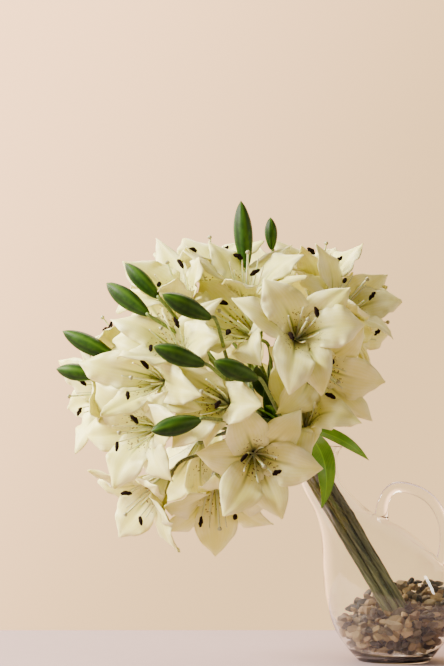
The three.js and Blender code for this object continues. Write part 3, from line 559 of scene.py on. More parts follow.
stem_draw = np.random.default_rng(STEM_SEED)
stem_material = new_finish("stem_green", stem_green)
stems = make_stems()
for stem in stems:
    shares = np.linspace(0, 1, STEM_STEPS)[:, None]
    line = np.vstack([stem["foot"] + shares * (stem["mouth"] - stem["foot"]),
                      stem["mouth"] + shares[4::4] * (stem["top"] - stem["mouth"])])
    swell = STEM_SWELL + STEM_SWELL_VARIES * stem_draw.normal(size=len(line)).clip(-1.5, 1.5)
    lines = [(line, STEM_RADIUS * swell)]
    for number in stem["lilies"]:
        root, axis, _, _ = lily_frame(number)
        stalk = stalk_in_solid(stem, root - (KNOB_BELOW + SEAT_GAP) * axis, axis, STALK_RUN_IN)
        lines.append((stalk, np.linspace(1.1, 0.9, len(stalk)) * STALK_RADIUS))
    for base, tip, _ in stem["buds"]:
        direction = unit(np.subtract(tip, base))
        stalk = stalk_in_solid(stem, np.array(base) + BUD_SEAT * direction, direction, BUD_RUN_IN)
        lines.append((stalk, np.linspace(1, 0.85, len(stalk)) * STALK_RADIUS))
    piece = rods(stem["node"] + "_stalks", lines)
    piece.data.materials.append(stem_material)
    stands_for(piece, stem["node"])


# The pebbles: small worn stones, tan, ochre, pinkish brown and grey, poured loose into
# the jug to hold the stems. Each is a ball stretched, broken flat on many sides and
# kept inside the glass.
PEBBLE_SEED = 11
PEBBLE_SPACING = 0.0118
PEBBLE_ROW = PEBBLE_SPACING * 0.87
PEBBLE_LAYER = PEBBLE_SPACING * 0.70
PEBBLE_SHIFT = 0.22
PEBBLE_LENGTHS = (0.0066, 0.0112)
PEBBLE_WIDTH_SHARES = (0.6, 0.9)
PEBBLE_HEIGHT_SHARES = (0.42, 0.7)
PEBBLE_BREAKS = 12
PEBBLE_BREAK_DEPTHS = (0.42, 0.8)
PEBBLE_TILT = 1.0
PEBBLE_SEAT = 0.0036
PEBBLE_TO_GLASS = 0.0006
PEBBLE_TO_STEM = 0.0003
PEBBLE_STEM_GIRTH = 1.08
PEBBLE_EDGE_ANGLE = 24
BED_TOP = 0.0645
BED_RISE_RIGHT = 0.36
BED_RISE_BACK = 0.26
PEBBLE_COLOURS = [
    (0.0, (0.012, 0.012, 0.009)), (0.12, (0.050, 0.043, 0.022)), (0.26, (0.24, 0.160, 0.060)),
    (0.42, (0.62, 0.430, 0.190)), (0.56, (0.060, 0.057, 0.035)), (0.72, (0.80, 0.600, 0.310)),
    (0.86, (0.022, 0.024, 0.018)), (1.0, (0.34, 0.200, 0.085)),
]


def joined(name, pieces):
    bpy.ops.object.select_all(action="DESELECT")
    for piece in pieces:
        piece.select_set(True)
    bpy.context.view_layer.objects.active = pieces[0]
    if len(pieces) > 1:
        bpy.ops.object.join()
    whole = bpy.context.view_layer.objects.active
    whole.name = name
    return whole


def copy_of(template, name):
    piece = template.copy()
    piece.data = template.data.copy()
    piece.name = name
    bpy.context.scene.collection.objects.link(piece)
    return piece


def random_turn(draw):
    """A turn matrix that spins a flat stone where it lies and then tilts it."""
    spin = draw.uniform(0, 2 * np.pi)
    tilt = draw.uniform(-PEBBLE_TILT, PEBBLE_TILT)
    way = draw.uniform(0, 2 * np.pi)
    about_z = np.array([[np.cos(spin), -np.sin(spin), 0], [np.sin(spin), np.cos(spin), 0], [0, 0, 1]])
    axis = np.array([np.cos(way), np.sin(way), 0])
    cross = np.cross(np.eye(3), axis)
    return (np.eye(3) + np.sin(tilt) * cross + (1 - np.cos(tilt)) * cross @ cross) @ about_z


def stone_points(ball, draw):
    """A ball's points as a stone's: stretched, and flat where pieces broke away."""
    length = draw.uniform(*PEBBLE_LENGTHS)
    shape = ball.copy()
    for _ in range(PEBBLE_BREAKS):
        facing = unit(draw.normal(size=3))
        beyond = np.maximum(shape @ facing - draw.uniform(*PEBBLE_BREAK_DEPTHS), 0)
        shape -= np.outer(beyond, facing)
    width, height = draw.uniform(*PEBBLE_WIDTH_SHARES), draw.uniform(*PEBBLE_HEIGHT_SHARES)
    shape *= length * np.array([1, width, height])
    return shape @ random_turn(draw).T


def pebble_stone(wire):
    tint = wire.node("Attribute", {"attribute_name": "tint"}, output=2)
    colour = wire.node("ValToRGB", {"stops": PEBBLE_COLOURS}, {"Fac": tint})
    cloud = wire.noise(wire.place(), 160.0, 6.0)
    fleck = wire.noise(wire.place(), 900.0, 3.0)
    shade = wire.node("Mix", {"data_type": "RGBA", "blend_type": "MULTIPLY"},
                      {0: 0.75, 6: colour, 7: cloud.tint((0.55, 0.51, 0.47, 1), (1.3, 1.27, 1.22, 1))}, 2)
    return {"Base Color": shade, "Roughness": 0.42 + 0.25 * fleck,
            "Normal": wire.bump(cloud + 0.4 * fleck, 0.5, 0.0008)}


def inside_glass(points):
    """The points, with any that are out of the glass's inside moved back to it."""
    for index, point in enumerate(points):
        wall, outward, _, _ = limit_tree.find_nearest(point)
        if (point - np.array(wall)) @ np.array(outward) > 0:
            points[index] = wall
    return points


def off_stems(points):
    """The points, with any that are in a stem moved out to its side."""
    for stem in stems:
        run = stem["mouth"] - stem["foot"]
        share = ((points - stem["foot"]) @ run / (run @ run)).clip(0, 1)[:, None]
        spoke_out = points - (stem["foot"] + share * run)
        far = np.linalg.norm(spoke_out, axis=1, keepdims=True)
        points += spoke_out / far * np.maximum(STEM_RADIUS * PEBBLE_STEM_GIRTH + PEBBLE_TO_STEM - far, 0)
    return points


limit = rolled_skin("limit", glass_skin(GLASS_WALL + PEBBLE_TO_GLASS, GLASS_FLOOR + PEBBLE_TO_GLASS))
limit_tree = skin_tree(limit.data)
bpy.data.objects.remove(limit)
bpy.ops.mesh.primitive_ico_sphere_add(subdivisions=2, radius=1)
ball_piece = bpy.context.object
ball_piece.data.attributes.new("tint", "FLOAT", "POINT")
ball_points = np.array([vertex.co for vertex in ball_piece.data.vertices])
bed_low, bed_high = (np.array(corner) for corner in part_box("pebbles"))
pebble_draw = np.random.default_rng(PEBBLE_SEED)
pebbles = []
for layer, z in enumerate(np.arange(bed_low[2], bed_high[2], PEBBLE_LAYER)):
    for row, y in enumerate(np.arange(bed_low[1], bed_high[1], PEBBLE_ROW)):
        for x in np.arange(bed_low[0], bed_high[0], PEBBLE_SPACING):
            shift = pebble_draw.uniform(-PEBBLE_SHIFT, PEBBLE_SHIFT, 3)
            shift += [(row + layer) % 2 / 2, layer % 2 / 3, 0]
            middle = np.array([x, y, z]) + shift * PEBBLE_SPACING
            wall, facing, _, depth = limit_tree.find_nearest(middle)
            if depth < PEBBLE_SEAT or (middle - np.array(wall)) @ np.array(facing) > 0:
                continue
            if middle[2] > BED_TOP + BED_RISE_RIGHT * middle[0] + BED_RISE_BACK * middle[1]:
                continue
            points = middle + stone_points(ball_points, pebble_draw)
            pebble = copy_of(ball_piece, "pebble")
            pebble.data.vertices.foreach_set("co", off_stems(inside_glass(points)).ravel())
            pebble.data.attributes["tint"].data.foreach_set(
                "value", np.full(len(points), pebble_draw.uniform(), np.float32))
            pebbles.append(pebble)
bpy.data.objects.remove(ball_piece)
pebble_bed = joined("pebble_bed", pebbles)
bpy.ops.object.shade_smooth_by_angle(angle=math.radians(PEBBLE_EDGE_ANGLE))
pebble_bed.data.materials.append(new_finish("pebble_stone", pebble_stone))
stands_for(pebble_bed, "pebbles")


# The buds: closed green lilies. Three broad petals meet at grooves along the bud, and
# it is fattest at its middle and drawn in to a tip.
BUD_SECTIONS = [(0, 0.30), (0.14, 0.66), (0.4, 1), (0.65, 0.98), (0.87, 0.56), (1, 0.0)]
BUD_SIDES = 30
BUD_STEPS = 5
BUD_GROOVE = 0.13


def bud_skin(base, tip, width):
    axis = np.subtract(tip, base)
    direction = unit(axis)
    front = square_to((0.3, -1, 0.2), direction)
    side = np.cross(direction, front)
    sections = smooth_through(BUD_SECTIONS, BUD_STEPS)
    rings = []
    for share, girth in sections:
        ring = []
        for index in range(BUD_SIDES):
            turn = 2 * np.pi * index / BUD_SIDES
            groove = BUD_GROOVE * (0.5 - 0.5 * np.cos(3 * turn)) ** 4
            reach = width / 2 * max(girth, 0) * (1 - groove)
            ring.append(np.array(base) + share * axis + reach * spoke(turn, front, side))
        rings.append(ring)
    return np.array(rings)


def bud_green(wire):
    around, along = wire.across_and_along()
    cloud = wire.noise(wire.place(), 120.0, 3.0)
    three_petals = (around * (6 * math.pi)).cosine()
    # The seams between the three petals are painted darker as shade in the grooves, and the middle of
    # each petal is painted lighter as a highlight on its rib.
    seam_shade = (0.5 - 0.5 * three_petals) ** 6
    rib_and_highlight = (0.5 + 0.5 * three_petals) ** 8
    skin = cloud.rise(0.3, 0.7).tint((0.011, 0.042, 0.002, 1), (0.024, 0.075, 0.004, 1))
    ribbed = (0.5 * rib_and_highlight).tint(skin, (0.085, 0.19, 0.015, 1))
    seam_shaded = (0.7 * seam_shade).tint(ribbed, (0.005, 0.018, 0.001, 1))
    colour = (0.6 * along.rise(0.85, 1.0)).tint(seam_shaded, (0.10, 0.14, 0.03, 1))
    return {"Base Color": colour, "Roughness": 0.5, "Specular IOR Level": 0.15,
            "Normal": wire.bump(cloud + rib_and_highlight, 0.2, 0.0005)}


bud_material = new_finish("bud_green", bud_green)
for stem in stems:
    if stem["buds"]:
        buds = [rolled_skin("bud", bud_skin(*bud)) for bud in stem["buds"]]
        piece = joined(stem["node"] + "_buds", buds)
        piece.data.materials.append(bud_material)
        stands_for(piece, stem["node"])


# The leaves: long lily leaves with a keel along the middle and fine lengthwise veins.
# They grow straight from the stems, mostly light green and curled over at the jug's
# mouth. Those among the flowers, and a few at the mouth, wear the same green made much
# darker, as painted shade.
LEAVES = [
    # where it leaves its stem, its tip, the way its upper face looks, width, curl and tone (dark is
    # painted shade)
    ((-0.113, -0.008, 0.269), (-0.088, -0.054, 0.176), (0.4, -0.75, 0.45), 0.029, 130, "light"),
    ((-0.114, 0.000, 0.276), (-0.050, -0.018, 0.217), (0.35, -0.7, 0.6), 0.022, 95, "light"),
    ((-0.129, -0.013, 0.287), (-0.061, -0.016, 0.258), (0.25, -0.75, 0.6), 0.024, 130, "light"),
    ((-0.112, -0.009, 0.268), (-0.074, -0.026, 0.226), (0.3, -0.8, 0.5), 0.024, 60, "dark"),
    ((-0.118, 0.002, 0.266), (-0.060, 0.014, 0.305), (-0.3, -0.8, 0.5), 0.019, 40, "light"),
    ((-0.125, -0.010, 0.272), (-0.185, -0.072, 0.298), (-0.2, -0.5, 0.8), 0.016, 40, "light"),
    ((-0.127, -0.008, 0.260), (-0.121, -0.098, 0.249), (0.3, -0.5, 0.8), 0.016, 60, "light"),
    ((-0.135, -0.008, 0.280), (-0.188, -0.055, 0.284), (-0.3, -0.4, 0.8), 0.018, 45, "dark"),
    ((-0.140, -0.012, 0.286), (-0.150, -0.085, 0.296), (0.1, -0.3, 0.9), 0.016, 45, "light"),
    ((-0.112, 0.008, 0.262), (-0.105, 0.078, 0.232), (0, 0.4, 0.9), 0.020, 80, "dark"),
    ((-0.138, 0.018, 0.279), (-0.172, 0.088, 0.270), (-0.2, 0.3, 0.9), 0.018, 60, "dark"),
]
HEAD_LEAF_SHARES = (0.2, 0.62)
HEAD_LEAF_TURNS = (0.45, -0.5)
HEAD_LEAF_TURN_VARIES = 0.5
HEAD_LEAF_REACH = 0.072
HEAD_LEAF_RISES = (0.034, 0.020)
HEAD_LEAF_WIDTH = 0.018
HEAD_LEAF_CURL = 40
LEAF_SEED = 23
LEAF_THICKNESS = 0.0006
LEAF_POWER = 1.3
LEAF_LIFT = 0.43
LEAF_SLACK = 22
LEAF_CUP = 0.5
LEAF_KEEL = 0.0012
LEAF_KEEL_WIDTH = 0.25
LEAF_WAVE = 0.0006
BLADE_STEPS = 40
BLADE_COLUMNS = 12
STRIP_FAR_END = 0.499
BLADE_SIZES = (1, 0.9, 0.8, 0.7, 0.6, 0.5)
SLIM_SIZES = (0.95, 0.85, 0.75, 0.65, 0.55, 0.45)
BLADE_BENDS = (0, -14, 14, -28, 28, -42, -56, 45, -70, 70)
BLADE_SWEEPS = (0, 0.12, -0.12, 0.25, -0.25, 0.4, -0.4)
SLIM_LEAF = 0.65
SLIM_PETAL = 0.78
TIP_MATCH = 0.00005
DRAW_FACTOR = 1664525
DRAW_SHIFT = 1013904223
DRAW_RANGE = 2 ** 32


def same_draws(seed, count):
    """The row of draws that the solids were placed with."""
    draws = []
    state = seed
    for _ in range(count):
        state = (state * DRAW_FACTOR + DRAW_SHIFT) % DRAW_RANGE
        draws.append(state / DRAW_RANGE)
    return draws


def nearest_on_stem(point):
    """The nearest point on any stem above the jug, and that stem."""
    found = []
    for stem in stems:
        run = stem["top"] - stem["mouth"]
        share = np.clip((point - stem["mouth"]) @ run / (run @ run), 0, 1)
        spot = stem["mouth"] + share * run
        found.append((np.linalg.norm(spot - point), stem["node"], spot))
    _, node, spot = min(found, key=lambda entry: entry[0])
    return node, spot


def leaf_outline(share):
    return 0.2 * (1 - share) ** 2 + np.sin(np.pi * share ** 0.8).clip(0) ** 0.9


def leaf_blade(base, tip, face, width, curl):
    bend = math.radians(curl)
    chord = tip - base
    forward = unit(chord)
    upper = square_to(face, forward)
    lift = bend * LEAF_LIFT
    return {"base": base, "along": math.cos(lift) * forward + math.sin(lift) * upper,
            "face": math.cos(lift) * upper - math.sin(lift) * forward,
            "length": np.linalg.norm(chord) * (1 + bend * bend / LEAF_SLACK), "width": width,
            "outline": leaf_outline, "curl": bend, "power": LEAF_POWER, "slim": SLIM_LEAF,
            "cup": LEAF_CUP, "reflex": 0, "sweep": 0}


def all_leaves():
    for base, tip, face, width, curl, tone in LEAVES:
        node, spot = nearest_on_stem(np.array(base))
        yield node, leaf_blade(spot, np.array(tip), np.array(face), width, curl), tone
    draws = iter(same_draws(LEAF_SEED, 4 * STEM_COUNT))
    for stem in stems:
        for share, aside in zip(HEAD_LEAF_SHARES, HEAD_LEAF_TURNS):
            base = stem["mouth"] + share * (stem["top"] - stem["mouth"])
            turn = stem["turn"] + aside + (next(draws) - 0.5) * HEAD_LEAF_TURN_VARIES
            rise = HEAD_LEAF_RISES[0] + HEAD_LEAF_RISES[1] * next(draws)
            tip = base + HEAD_LEAF_REACH * spoke(turn, HEAD_FRONT, HEAD_SIDE) + rise * HEAD_AXIS
            blade = leaf_blade(base, tip, HEAD_AXIS, HEAD_LEAF_WIDTH, HEAD_LEAF_CURL)
            yield nearest_on_stem(base)[0], blade, "dark"


def blade_line(blade):
    """The blade's middle line in even steps, its side and its upper directions."""
    def headings(shares):
        bend = (blade["curl"] * shares ** blade["power"])[:, None]
        return np.cos(bend) * blade["along"] - np.sin(bend) * blade["face"]
    shares = np.arange(BLADE_STEPS + 1) / BLADE_STEPS
    side = np.cross(blade["face"], blade["along"])
    moves = np.cumsum(headings(shares[1:] - 0.5 / BLADE_STEPS), axis=0) / BLADE_STEPS
    places = blade["base"] + blade["length"] * np.vstack([np.zeros(3), moves])
    places += blade["sweep"] * blade["length"] * np.outer(shares ** 2, side)
    return shares, places, side, np.cross(headings(shares), side)


def yielded(blade, corners):
    """The blade bent as its solid is, so that its tip is a corner of it, or nothing."""
    for size in BLADE_SIZES + SLIM_SIZES:
        for bend in BLADE_BENDS:
            bent = {**blade, "length": blade["length"] * size,
                    "width": blade["width"] * (blade["slim"] if size in SLIM_SIZES else 1),
                    "curl": blade["curl"] + math.radians(bend)}
            _, places, side, _ = blade_line(bent)
            for sweep in BLADE_SWEEPS:
                tip = places[-1] + sweep * bent["length"] * side
                if np.abs(corners - tip).max(axis=1).min() < TIP_MATCH:
                    return {**bent, "sweep": sweep}
    return None


def corners_of(node):
    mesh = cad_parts[node].data
    return np.unique(np.array([vertex.co for vertex in mesh.vertices]).round(6), axis=0)


def flat_blade():
    """A flat strip whose far end is one point: across it is x, along it is y."""
    bpy.ops.mesh.primitive_grid_add(x_subdivisions=BLADE_COLUMNS, y_subdivisions=BLADE_STEPS, size=1)
    strip = bpy.context.object
    far_end = [vertex.co.y > STRIP_FAR_END for vertex in strip.data.vertices]
    bpy.ops.object.mode_set(mode="EDIT")
    bpy.ops.mesh.select_all(action="DESELECT")
    bpy.ops.object.mode_set(mode="OBJECT")
    strip.data.vertices.foreach_set("select", far_end)
    bpy.ops.object.mode_set(mode="EDIT")
    bpy.ops.mesh.select_mode(type="VERT")
    bpy.ops.mesh.merge(type="CENTER")
    bpy.ops.object.mode_set(mode="OBJECT")
    return strip


def shaped_blade(strip, blade, name, relief):
    """A copy of the strip bent to the blade, with the relief added to its lift."""
    flat = np.array([vertex.co for vertex in strip.data.vertices])
    row = np.rint((flat[:, 1] + 0.5) * BLADE_STEPS).astype(int)
    across = 2 * flat[:, 0]
    shares, places, side, upper = blade_line(blade)
    share = shares[row]
    half = blade["width"] / 2 * blade["outline"](share)
    cup = blade["cup"] * (1 - share) ** 1.5 - blade["reflex"] * share ** 3
    lift = half * cup * across ** 2 / 2 + relief(share, across)
    reach = half * across * (1 - (across * cup) ** 2 / 6)
    points = places[row] + reach[:, None] * side + lift[:, None] * upper[row]
    piece = copy_of(strip, name)
    piece.data.vertices.foreach_set("co", points.ravel())
    return piece


def thickened(piece, thickness):
    bpy.context.view_layer.objects.active = piece
    wall = piece.modifiers.new("wall", "SOLIDIFY")
    wall.thickness = thickness
    wall.offset = 0
    bpy.ops.object.modifier_apply(modifier=wall.name)
    piece.data.shade_smooth()


def leaf_relief(share, across):
    keel = LEAF_KEEL * np.exp(-(across / LEAF_KEEL_WIDTH) ** 2) * (1 - share)
    wave = LEAF_WAVE * np.sin(9 * share + 2 * across) * across ** 2
    return wave - keel


def leaf_green(dark, light, glow):
    def surface(wire):
        across, along = wire.across_and_along()
        cloud = wire.noise(wire.place(), 60.0, 3.0)
        veins = 0.5 + 0.5 * (across * 88).sine()
        middle = 1 - (across - 0.5).size().rise(0.01, 0.05)
        skin = (0.65 * cloud + 0.35 * veins).rise(0.3, 0.75).tint((*dark, 1), (*light, 1))
        ribbed = (0.55 * middle).tint(skin, (*[value * 1.5 for value in light], 1))
        colour = (0.35 * along.rise(0.75, 1)).tint(ribbed, (*light, 1))
        return {"Base Color": colour, "Roughness": 0.42, "Specular IOR Level": 0.3,
                "Subsurface Weight": glow, "Subsurface Scale": 0.002,
                "Normal": wire.bump(veins - middle, 0.25, 0.0003)}
    return surface


strip = flat_blade()
leaf_tones = {
    "light": new_finish("leaf_light_green", leaf_green((0.075, 0.23, 0.005), (0.20, 0.44, 0.014), 0.2)),
    # The dark tone is the same leaf green made several times darker: painted shade.
    "dark": new_finish("leaf_green_painted_shade", leaf_green((0.010, 0.032, 0.003), (0.030, 0.080, 0.006), 0.1)),
}
leaves = {stem["node"]: [] for stem in stems}
for node, blade, tone in all_leaves():
    bent = yielded(blade, corners_of(node))
    if bent:
        piece = shaped_blade(strip, bent, "leaf", leaf_relief)
        piece.data.materials.append(leaf_tones[tone])
        leaves[node].append(piece)
for node, pieces in leaves.items():
    if pieces:
        piece = joined(node + "_leaves", pieces)
        thickened(piece, LEAF_THICKNESS)
        stands_for(piece, node)


# The lilies: six ivory petals round a green knob, three broad inner ones and three
# narrower outer ones set behind them. Each has a green groove from its root, fine
# lengthwise veins, dark speckles by the throat and a ruffled edge, and rolls back.
PETAL_SEED = 41
RUFFLE_SEED = 31
PETAL_LENGTH = 0.097
PETAL_LENGTH_VARIES = 0.08
PETAL_POWER = 1.9
PETAL_CURL_VARIES = 44
PETAL_TURN_VARIES = 9
PETAL_WIDTHS = (0.052, 0.043)
PETAL_SETBACKS = (0, 0.0035)
PETAL_CUPS = (1.15, 0.9)
PETAL_RUFFLES = (0.0036, 0.0024)
PETAL_WAVES = (2.4, 3.6)
PETAL_ARCH = 0.0018
PETAL_TWIST = 0.0034
PETAL_ROOT = 0.0045
PETAL_CONE = 22
PETAL_REFLEX = 0.8
PETAL_THICKNESS = 0.0007
PETAL_GROOVE = 0.0011
PETAL_GROOVE_WIDTH = 0.13
KNOB_RADIUS = 0.0042
KNOB_SIDES = 18
KNOB_SECTIONS = [(-0.006, 0.9), (-0.004, 1.1), (-0.001, 1.15), (0.0015, 0.8), (0.002, 0.0)]


def petal_outline(share):
    lens = np.sin(np.pi * share ** 1.28).clip(0) ** 0.86
    return 0.1 * (1 - share) ** 4 + lens * (1 - 0.35 * share ** 5)


def petal_blade(number, index, draws):
    _, _, turn, opened = LILIES[number]
    root, axis, right, up = lily_frame(number)
    longer, curlier, aside = (next(draws) - 0.5 for _ in range(3))
    radial = spoke(math.radians(turn + 60 * index + PETAL_TURN_VARIES * aside), right, up)
    cone = math.radians(PETAL_CONE)
    outer = index % 2
    return {"base": root - PETAL_SETBACKS[outer] * axis + PETAL_ROOT * radial,
            "along": math.cos(cone) * axis + math.sin(cone) * radial,
            "face": math.sin(cone) * axis - math.cos(cone) * radial,
            "length": PETAL_LENGTH * (1 + PETAL_LENGTH_VARIES * longer),
            "width": PETAL_WIDTHS[outer], "outline": petal_outline,
            "curl": math.radians(opened - PETAL_CONE + PETAL_CURL_VARIES * curlier),
            "power": PETAL_POWER, "slim": SLIM_PETAL, "cup": PETAL_CUPS[outer],
            "reflex": PETAL_REFLEX, "sweep": 0}


def petal_relief(ruffle, draw):
    """Waves along both edges, two raised halves, the groove between and a slight twist."""
    waves = draw.uniform(*PETAL_WAVES, 2)
    starts = draw.uniform(0, 2 * np.pi, 2)
    twist = draw.uniform(-PETAL_TWIST, PETAL_TWIST)

    def relief(share, across):
        edge = (across > 0).astype(int)
        turn = 2 * np.pi * waves[edge] * share + starts[edge]
        wave = np.sin(turn) + 0.35 * np.sin(2.3 * turn + 1)
        width = petal_outline(share)
        margin = ruffle * width * np.abs(across) ** 2.6
        arch = PETAL_ARCH * width * np.sin(np.pi * np.abs(across)) ** 2
        groove = PETAL_GROOVE * np.exp(-(across / PETAL_GROOVE_WIDTH) ** 2) * (1 - share) ** 0.6
        return margin * wave + arch - groove * width.clip(0.15) + twist * across * share ** 2
    return relief


def petal_ivory(wire):
    across, along = wire.across_and_along()
    off_middle = (across - 0.5).size()
    cloud = wire.noise(wire.place(), 38.0, 3.0)
    veins = 0.5 + 0.5 * (across * 75 + 4 * cloud).sine()
    cream = (0.7 * cloud + 0.05 * veins + 0.3 * off_middle).rise(0.25, 0.75)
    skin = cream.tint((0.75, 0.73, 0.17, 1), (0.95, 0.94, 0.48, 1))
    # The throat is the lily's own green, painted darker still as shade deep in the cup.
    throat = (1 - (along + 0.25 * off_middle).rise(0.05, 0.42)) * 0.85
    throat_green_and_shade = throat.tint(skin, (0.20, 0.24, 0.014, 1))
    groove = (1 - off_middle.rise(0.005, 0.055)) * (1 - along.rise(0.25, 0.75)) * 0.85
    green = groove.tint(throat_green_and_shade, (0.095, 0.17, 0.008, 1))
    grid = wire.node("Mapping", {}, {"Vector": wire.node("TexCoord", output=2), "Scale": (13, 30, 1)})
    spots = wire.node("TexVoronoi", {}, {"Vector": grid, "Scale": 1.0, "Randomness": 1.0})
    zone = along.rise(0.07, 0.16) * (1 - along.rise(0.3, 0.52)) * (1 - off_middle.rise(0.28, 0.42))
    patch = wire.noise(wire.place(), 28.0, 0.0).rise(0.2, 0.5)
    speckle = spots < 0.37 * zone ** 0.5 * patch
    colour = (0.9 * speckle).tint(green, (0.075, 0.035, 0.02, 1))
    return {"Base Color": colour, "Roughness": 0.46, "Sheen Weight": 0.15,
            "Subsurface Weight": 0.22, "Subsurface Scale": 0.003,
            "Subsurface Radius": (1.0, 0.9, 0.55),
            "Normal": wire.bump(0.05 * veins + cloud, 0.3, 0.0006)}


def knob_skin(number):
    root, axis, right, up = lily_frame(number)
    turns = 2 * np.pi * np.arange(KNOB_SIDES) / KNOB_SIDES
    return np.array([[root + height * axis + KNOB_RADIUS * girth * spoke(turn, right, up)
                      for turn in turns] for height, girth in KNOB_SECTIONS])


def lily_node(number):
    return f"lily_{number + 1:02d}"


petal_draw = np.random.default_rng(RUFFLE_SEED)
petal_placing = iter(same_draws(PETAL_SEED, 18 * len(LILIES)))
petal_material = new_finish("petal_ivory", petal_ivory)
for number in range(len(LILIES)):
    corners = corners_of(lily_node(number))
    petals = []
    for index in range(6):
        relief = petal_relief(PETAL_RUFFLES[index % 2], petal_draw)
        bent = yielded(petal_blade(number, index, petal_placing), corners)
        if bent:
            petals.append(shaped_blade(strip, bent, "petal", relief))
    piece = joined("petals", petals)
    piece.data.materials.append(petal_material)
    thickened(piece, PETAL_THICKNESS)
    knob = rolled_skin("knob", knob_skin(number))
    knob.data.materials.append(stem_material)
    piece = joined(lily_node(number) + "_petals", [piece, knob])
    stands_for(piece, lily_node(number))
bpy.data.objects.remove(strip)


# The stamens: six pale green filaments and the longer pistil with its three-lobed
# stigma, all rooted in the throat. One filament in three has kept its dark brown
# powdery anther, which hangs across its end, and the others end bare.
FILAMENT_LENGTH = 0.059
FILAMENT_RADIUS = 0.0008
FILAMENT_SPREAD = 17
FILAMENT_FIRST_TURN = 30
FILAMENT_BOW = 0.0022
FILAMENT_STEPS = 12
FILAMENT_SIDES = 8
FILAMENT_SIZES = (1, 0.85, 0.7)
FILAMENT_SPREAD_MOVES = (0, -5, 4, -10, -16)
FILAMENT_TURN_MOVES = (0, 14, -14, 26, -26)
ANTHER_EVERY = 3
ANTHER_LENGTH = 0.013
ANTHER_RADIUS = 0.0032
ANTHER_POINTS = (0.8, 0.6)
ANTHER_MIDDLE = 0.38
ANTHER_HALF = 0.54
ANTHER_BEND = -0.0014
ANTHER_LUMPS = 0.3
BARE_TIP = 0.003
PISTIL_LEAN = 2
PISTIL_LENGTH = 0.069
PISTIL_RADIUS = 0.0012
STIGMA_RADIUS = 0.0024
LOBE_NOTCH = 0.28
STAMEN_ROOT_RADIUS = 0.0026
STAMEN_CROWN_RADIUS = 0.0009
STAMEN_CROWN_HEIGHT = 0.004


def stamen_roots(number):
    """The middle of each filament's root on the short base, and the pistil's."""
    root, axis, right, up = lily_frame(number)
    turn = LILIES[number][2]

    def around(degrees, radius, height):
        return root + height * axis + radius * spoke(math.radians(turn + degrees), right, up)
    low = [around(60 * index, STAMEN_ROOT_RADIUS, SEAT_GAP) for index in range(6)]
    crown = [around(degrees, STAMEN_CROWN_RADIUS, SEAT_GAP + STAMEN_CROWN_HEIGHT)
             for degrees in (60, 180, 300)]
    roots = [(low[i] + low[(i + 1) % 6] + crown[i // 2]) / 3 for i in range(6)]
    return [*roots, sum(crown) / 3]


def has_anther(number, index):
    return index < 6 and (number + index) % ANTHER_EVERY == 0


def filament_in_solid(number, index, root, corners):
    """The filament's end and the way its anther points, as in its solid, or nothing."""
    _, axis, right, up = lily_frame(number)
    is_pistil = index == 6
    for size in FILAMENT_SIZES:
        for spread in FILAMENT_SPREAD_MOVES:
            for turn in FILAMENT_TURN_MOVES:
                lean = PISTIL_LEAN + turn / 4 if is_pistil else FILAMENT_SPREAD + spread
                lean = math.radians(lean)
                angle = math.radians(LILIES[number][2] + FILAMENT_FIRST_TURN + 60 * index + turn)
                radial = spoke(angle, right, up)
                direction = math.cos(lean) * axis + math.sin(lean) * radial
                end = root + size * (PISTIL_LENGTH if is_pistil else FILAMENT_LENGTH) * direction
                sideways, forward = ANTHER_POINTS
                across = unit(sideways * np.cross(axis, radial) + forward * direction)
                if is_pistil:
                    tip = end + 2 * STIGMA_RADIUS * direction
                elif has_anther(number, index):
                    tip = end + ANTHER_LENGTH * across
                else:
                    tip = end + BARE_TIP * direction
                if np.abs(corners - tip).max(axis=1).min() < TIP_MATCH:
                    return end, (direction if is_pistil else across), radial
    return None


def filament_line(root, end, radial):
    share = np.linspace(0, 1, FILAMENT_STEPS)[:, None]
    return root + share * (end - root) + FILAMENT_BOW * np.sin(np.pi * share) * radial


def stretched_ball(name, ball, middle, axis, half_length, radius, bend, lobes, lumps=0):
    """A ball drawn out along an axis, bent like a bean, lumpy or notched into lobes."""
    front = square_to((0.2, -0.7, 0.5), axis)
    side = np.cross(axis, front)
    flat = np.array([vertex.co for vertex in ball.data.vertices])
    turn = np.arctan2(flat[:, 1], flat[:, 0])
    girth = radius * (1 - LOBE_NOTCH * (0.5 - 0.5 * np.cos(lobes * turn)))
    girth *= 1 + lumps * np.sin(7 * flat[:, 2] + 900 * middle[0]) * np.cos(turn + 700 * middle[2])
    points = (middle + np.outer(flat[:, 2] * half_length, axis)
              + np.outer(flat[:, 0] * girth + bend * flat[:, 2] ** 2, front)
              + np.outer(flat[:, 1] * girth, side))
    piece = copy_of(ball, name)
    piece.data.vertices.foreach_set("co", points.ravel())
    piece.data.shade_smooth()
    return piece


def filament_green(wire):
    cloud = wire.noise(wire.place(), 90.0, 2.0)
    return {"Base Color": cloud.rise(0.3, 0.7).tint((0.56, 0.62, 0.30, 1), (0.76, 0.78, 0.50, 1)),
            "Roughness": 0.4, "Subsurface Weight": 0.2, "Subsurface Scale": 0.002,
            "Normal": wire.bump(cloud, 0.2, 0.0003)}


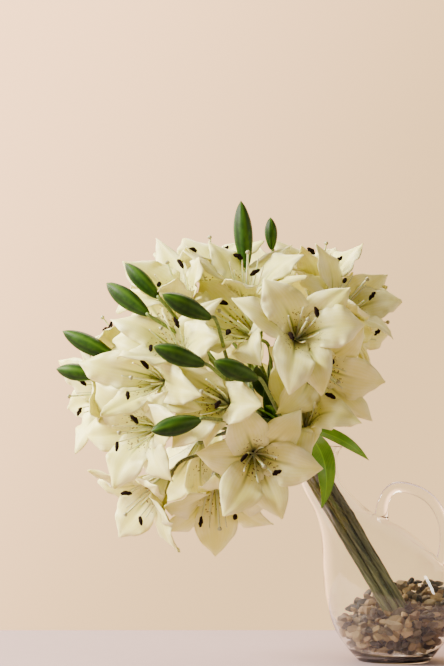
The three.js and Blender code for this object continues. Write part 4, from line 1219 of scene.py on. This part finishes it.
def anther_brown(wire):
    dust = wire.noise(wire.place(), 1500.0, 4.0)
    brown = dust.rise(0.3, 0.75).tint((0.003, 0.0015, 0.001, 1), (0.016, 0.007, 0.004, 1))
    return {"Base Color": brown, "Roughness": 0.9, "Specular IOR Level": 0.08,
            "Normal": wire.bump(dust, 0.8, 0.0004)}


def stigma_olive(wire):
    cloud = wire.noise(wire.place(), 500.0, 2.0)
    return {"Base Color": cloud.tint((0.22, 0.24, 0.10, 1), (0.42, 0.40, 0.20, 1)),
            "Roughness": 0.3, "Normal": wire.bump(cloud, 0.4, 0.0003)}


bpy.ops.mesh.primitive_uv_sphere_add(segments=12, ring_count=8, radius=1)
small_ball = bpy.context.object
filament_material = new_finish("filament_green", filament_green)
anther_material = new_finish("anther_brown", anther_brown)
stigma_material = new_finish("stigma_olive", stigma_olive)
for number in range(len(LILIES)):
    node = lily_node(number) + "_stamens"
    corners = corners_of(node)
    lines = []
    ends = []
    for index, root in enumerate(stamen_roots(number)):
        found = filament_in_solid(number, index, root, corners)
        if not found:
            continue
        end, pointing, radial = found
        is_pistil = index == 6
        radius = PISTIL_RADIUS if is_pistil else FILAMENT_RADIUS
        bare = 0 if is_pistil or has_anther(number, index) else BARE_TIP
        lines.append((filament_line(root, end + bare * unit(end - root), 0 if is_pistil else radial),
                      radius * np.linspace(1.5, 1, FILAMENT_STEPS)))
        if is_pistil:
            ball = stretched_ball("stigma", small_ball, end + STIGMA_RADIUS * pointing, pointing,
                                  STIGMA_RADIUS, 1.25 * STIGMA_RADIUS, 0, 3)
            ball.data.materials.append(stigma_material)
            ends.append(ball)
        elif has_anther(number, index):
            middle = end + ANTHER_MIDDLE * ANTHER_LENGTH * pointing
            ball = stretched_ball("anther", small_ball, middle, pointing, ANTHER_HALF * ANTHER_LENGTH,
                                  ANTHER_RADIUS, ANTHER_BEND, 2, ANTHER_LUMPS)
            ball.data.materials.append(anther_material)
            ends.append(ball)
    filaments = rods("filaments", lines, FILAMENT_SIDES)
    filaments.data.materials.append(filament_material)
    piece = joined(node + "_fine", [filaments, *ends])
    stands_for(piece, node)
bpy.data.objects.remove(small_ball)
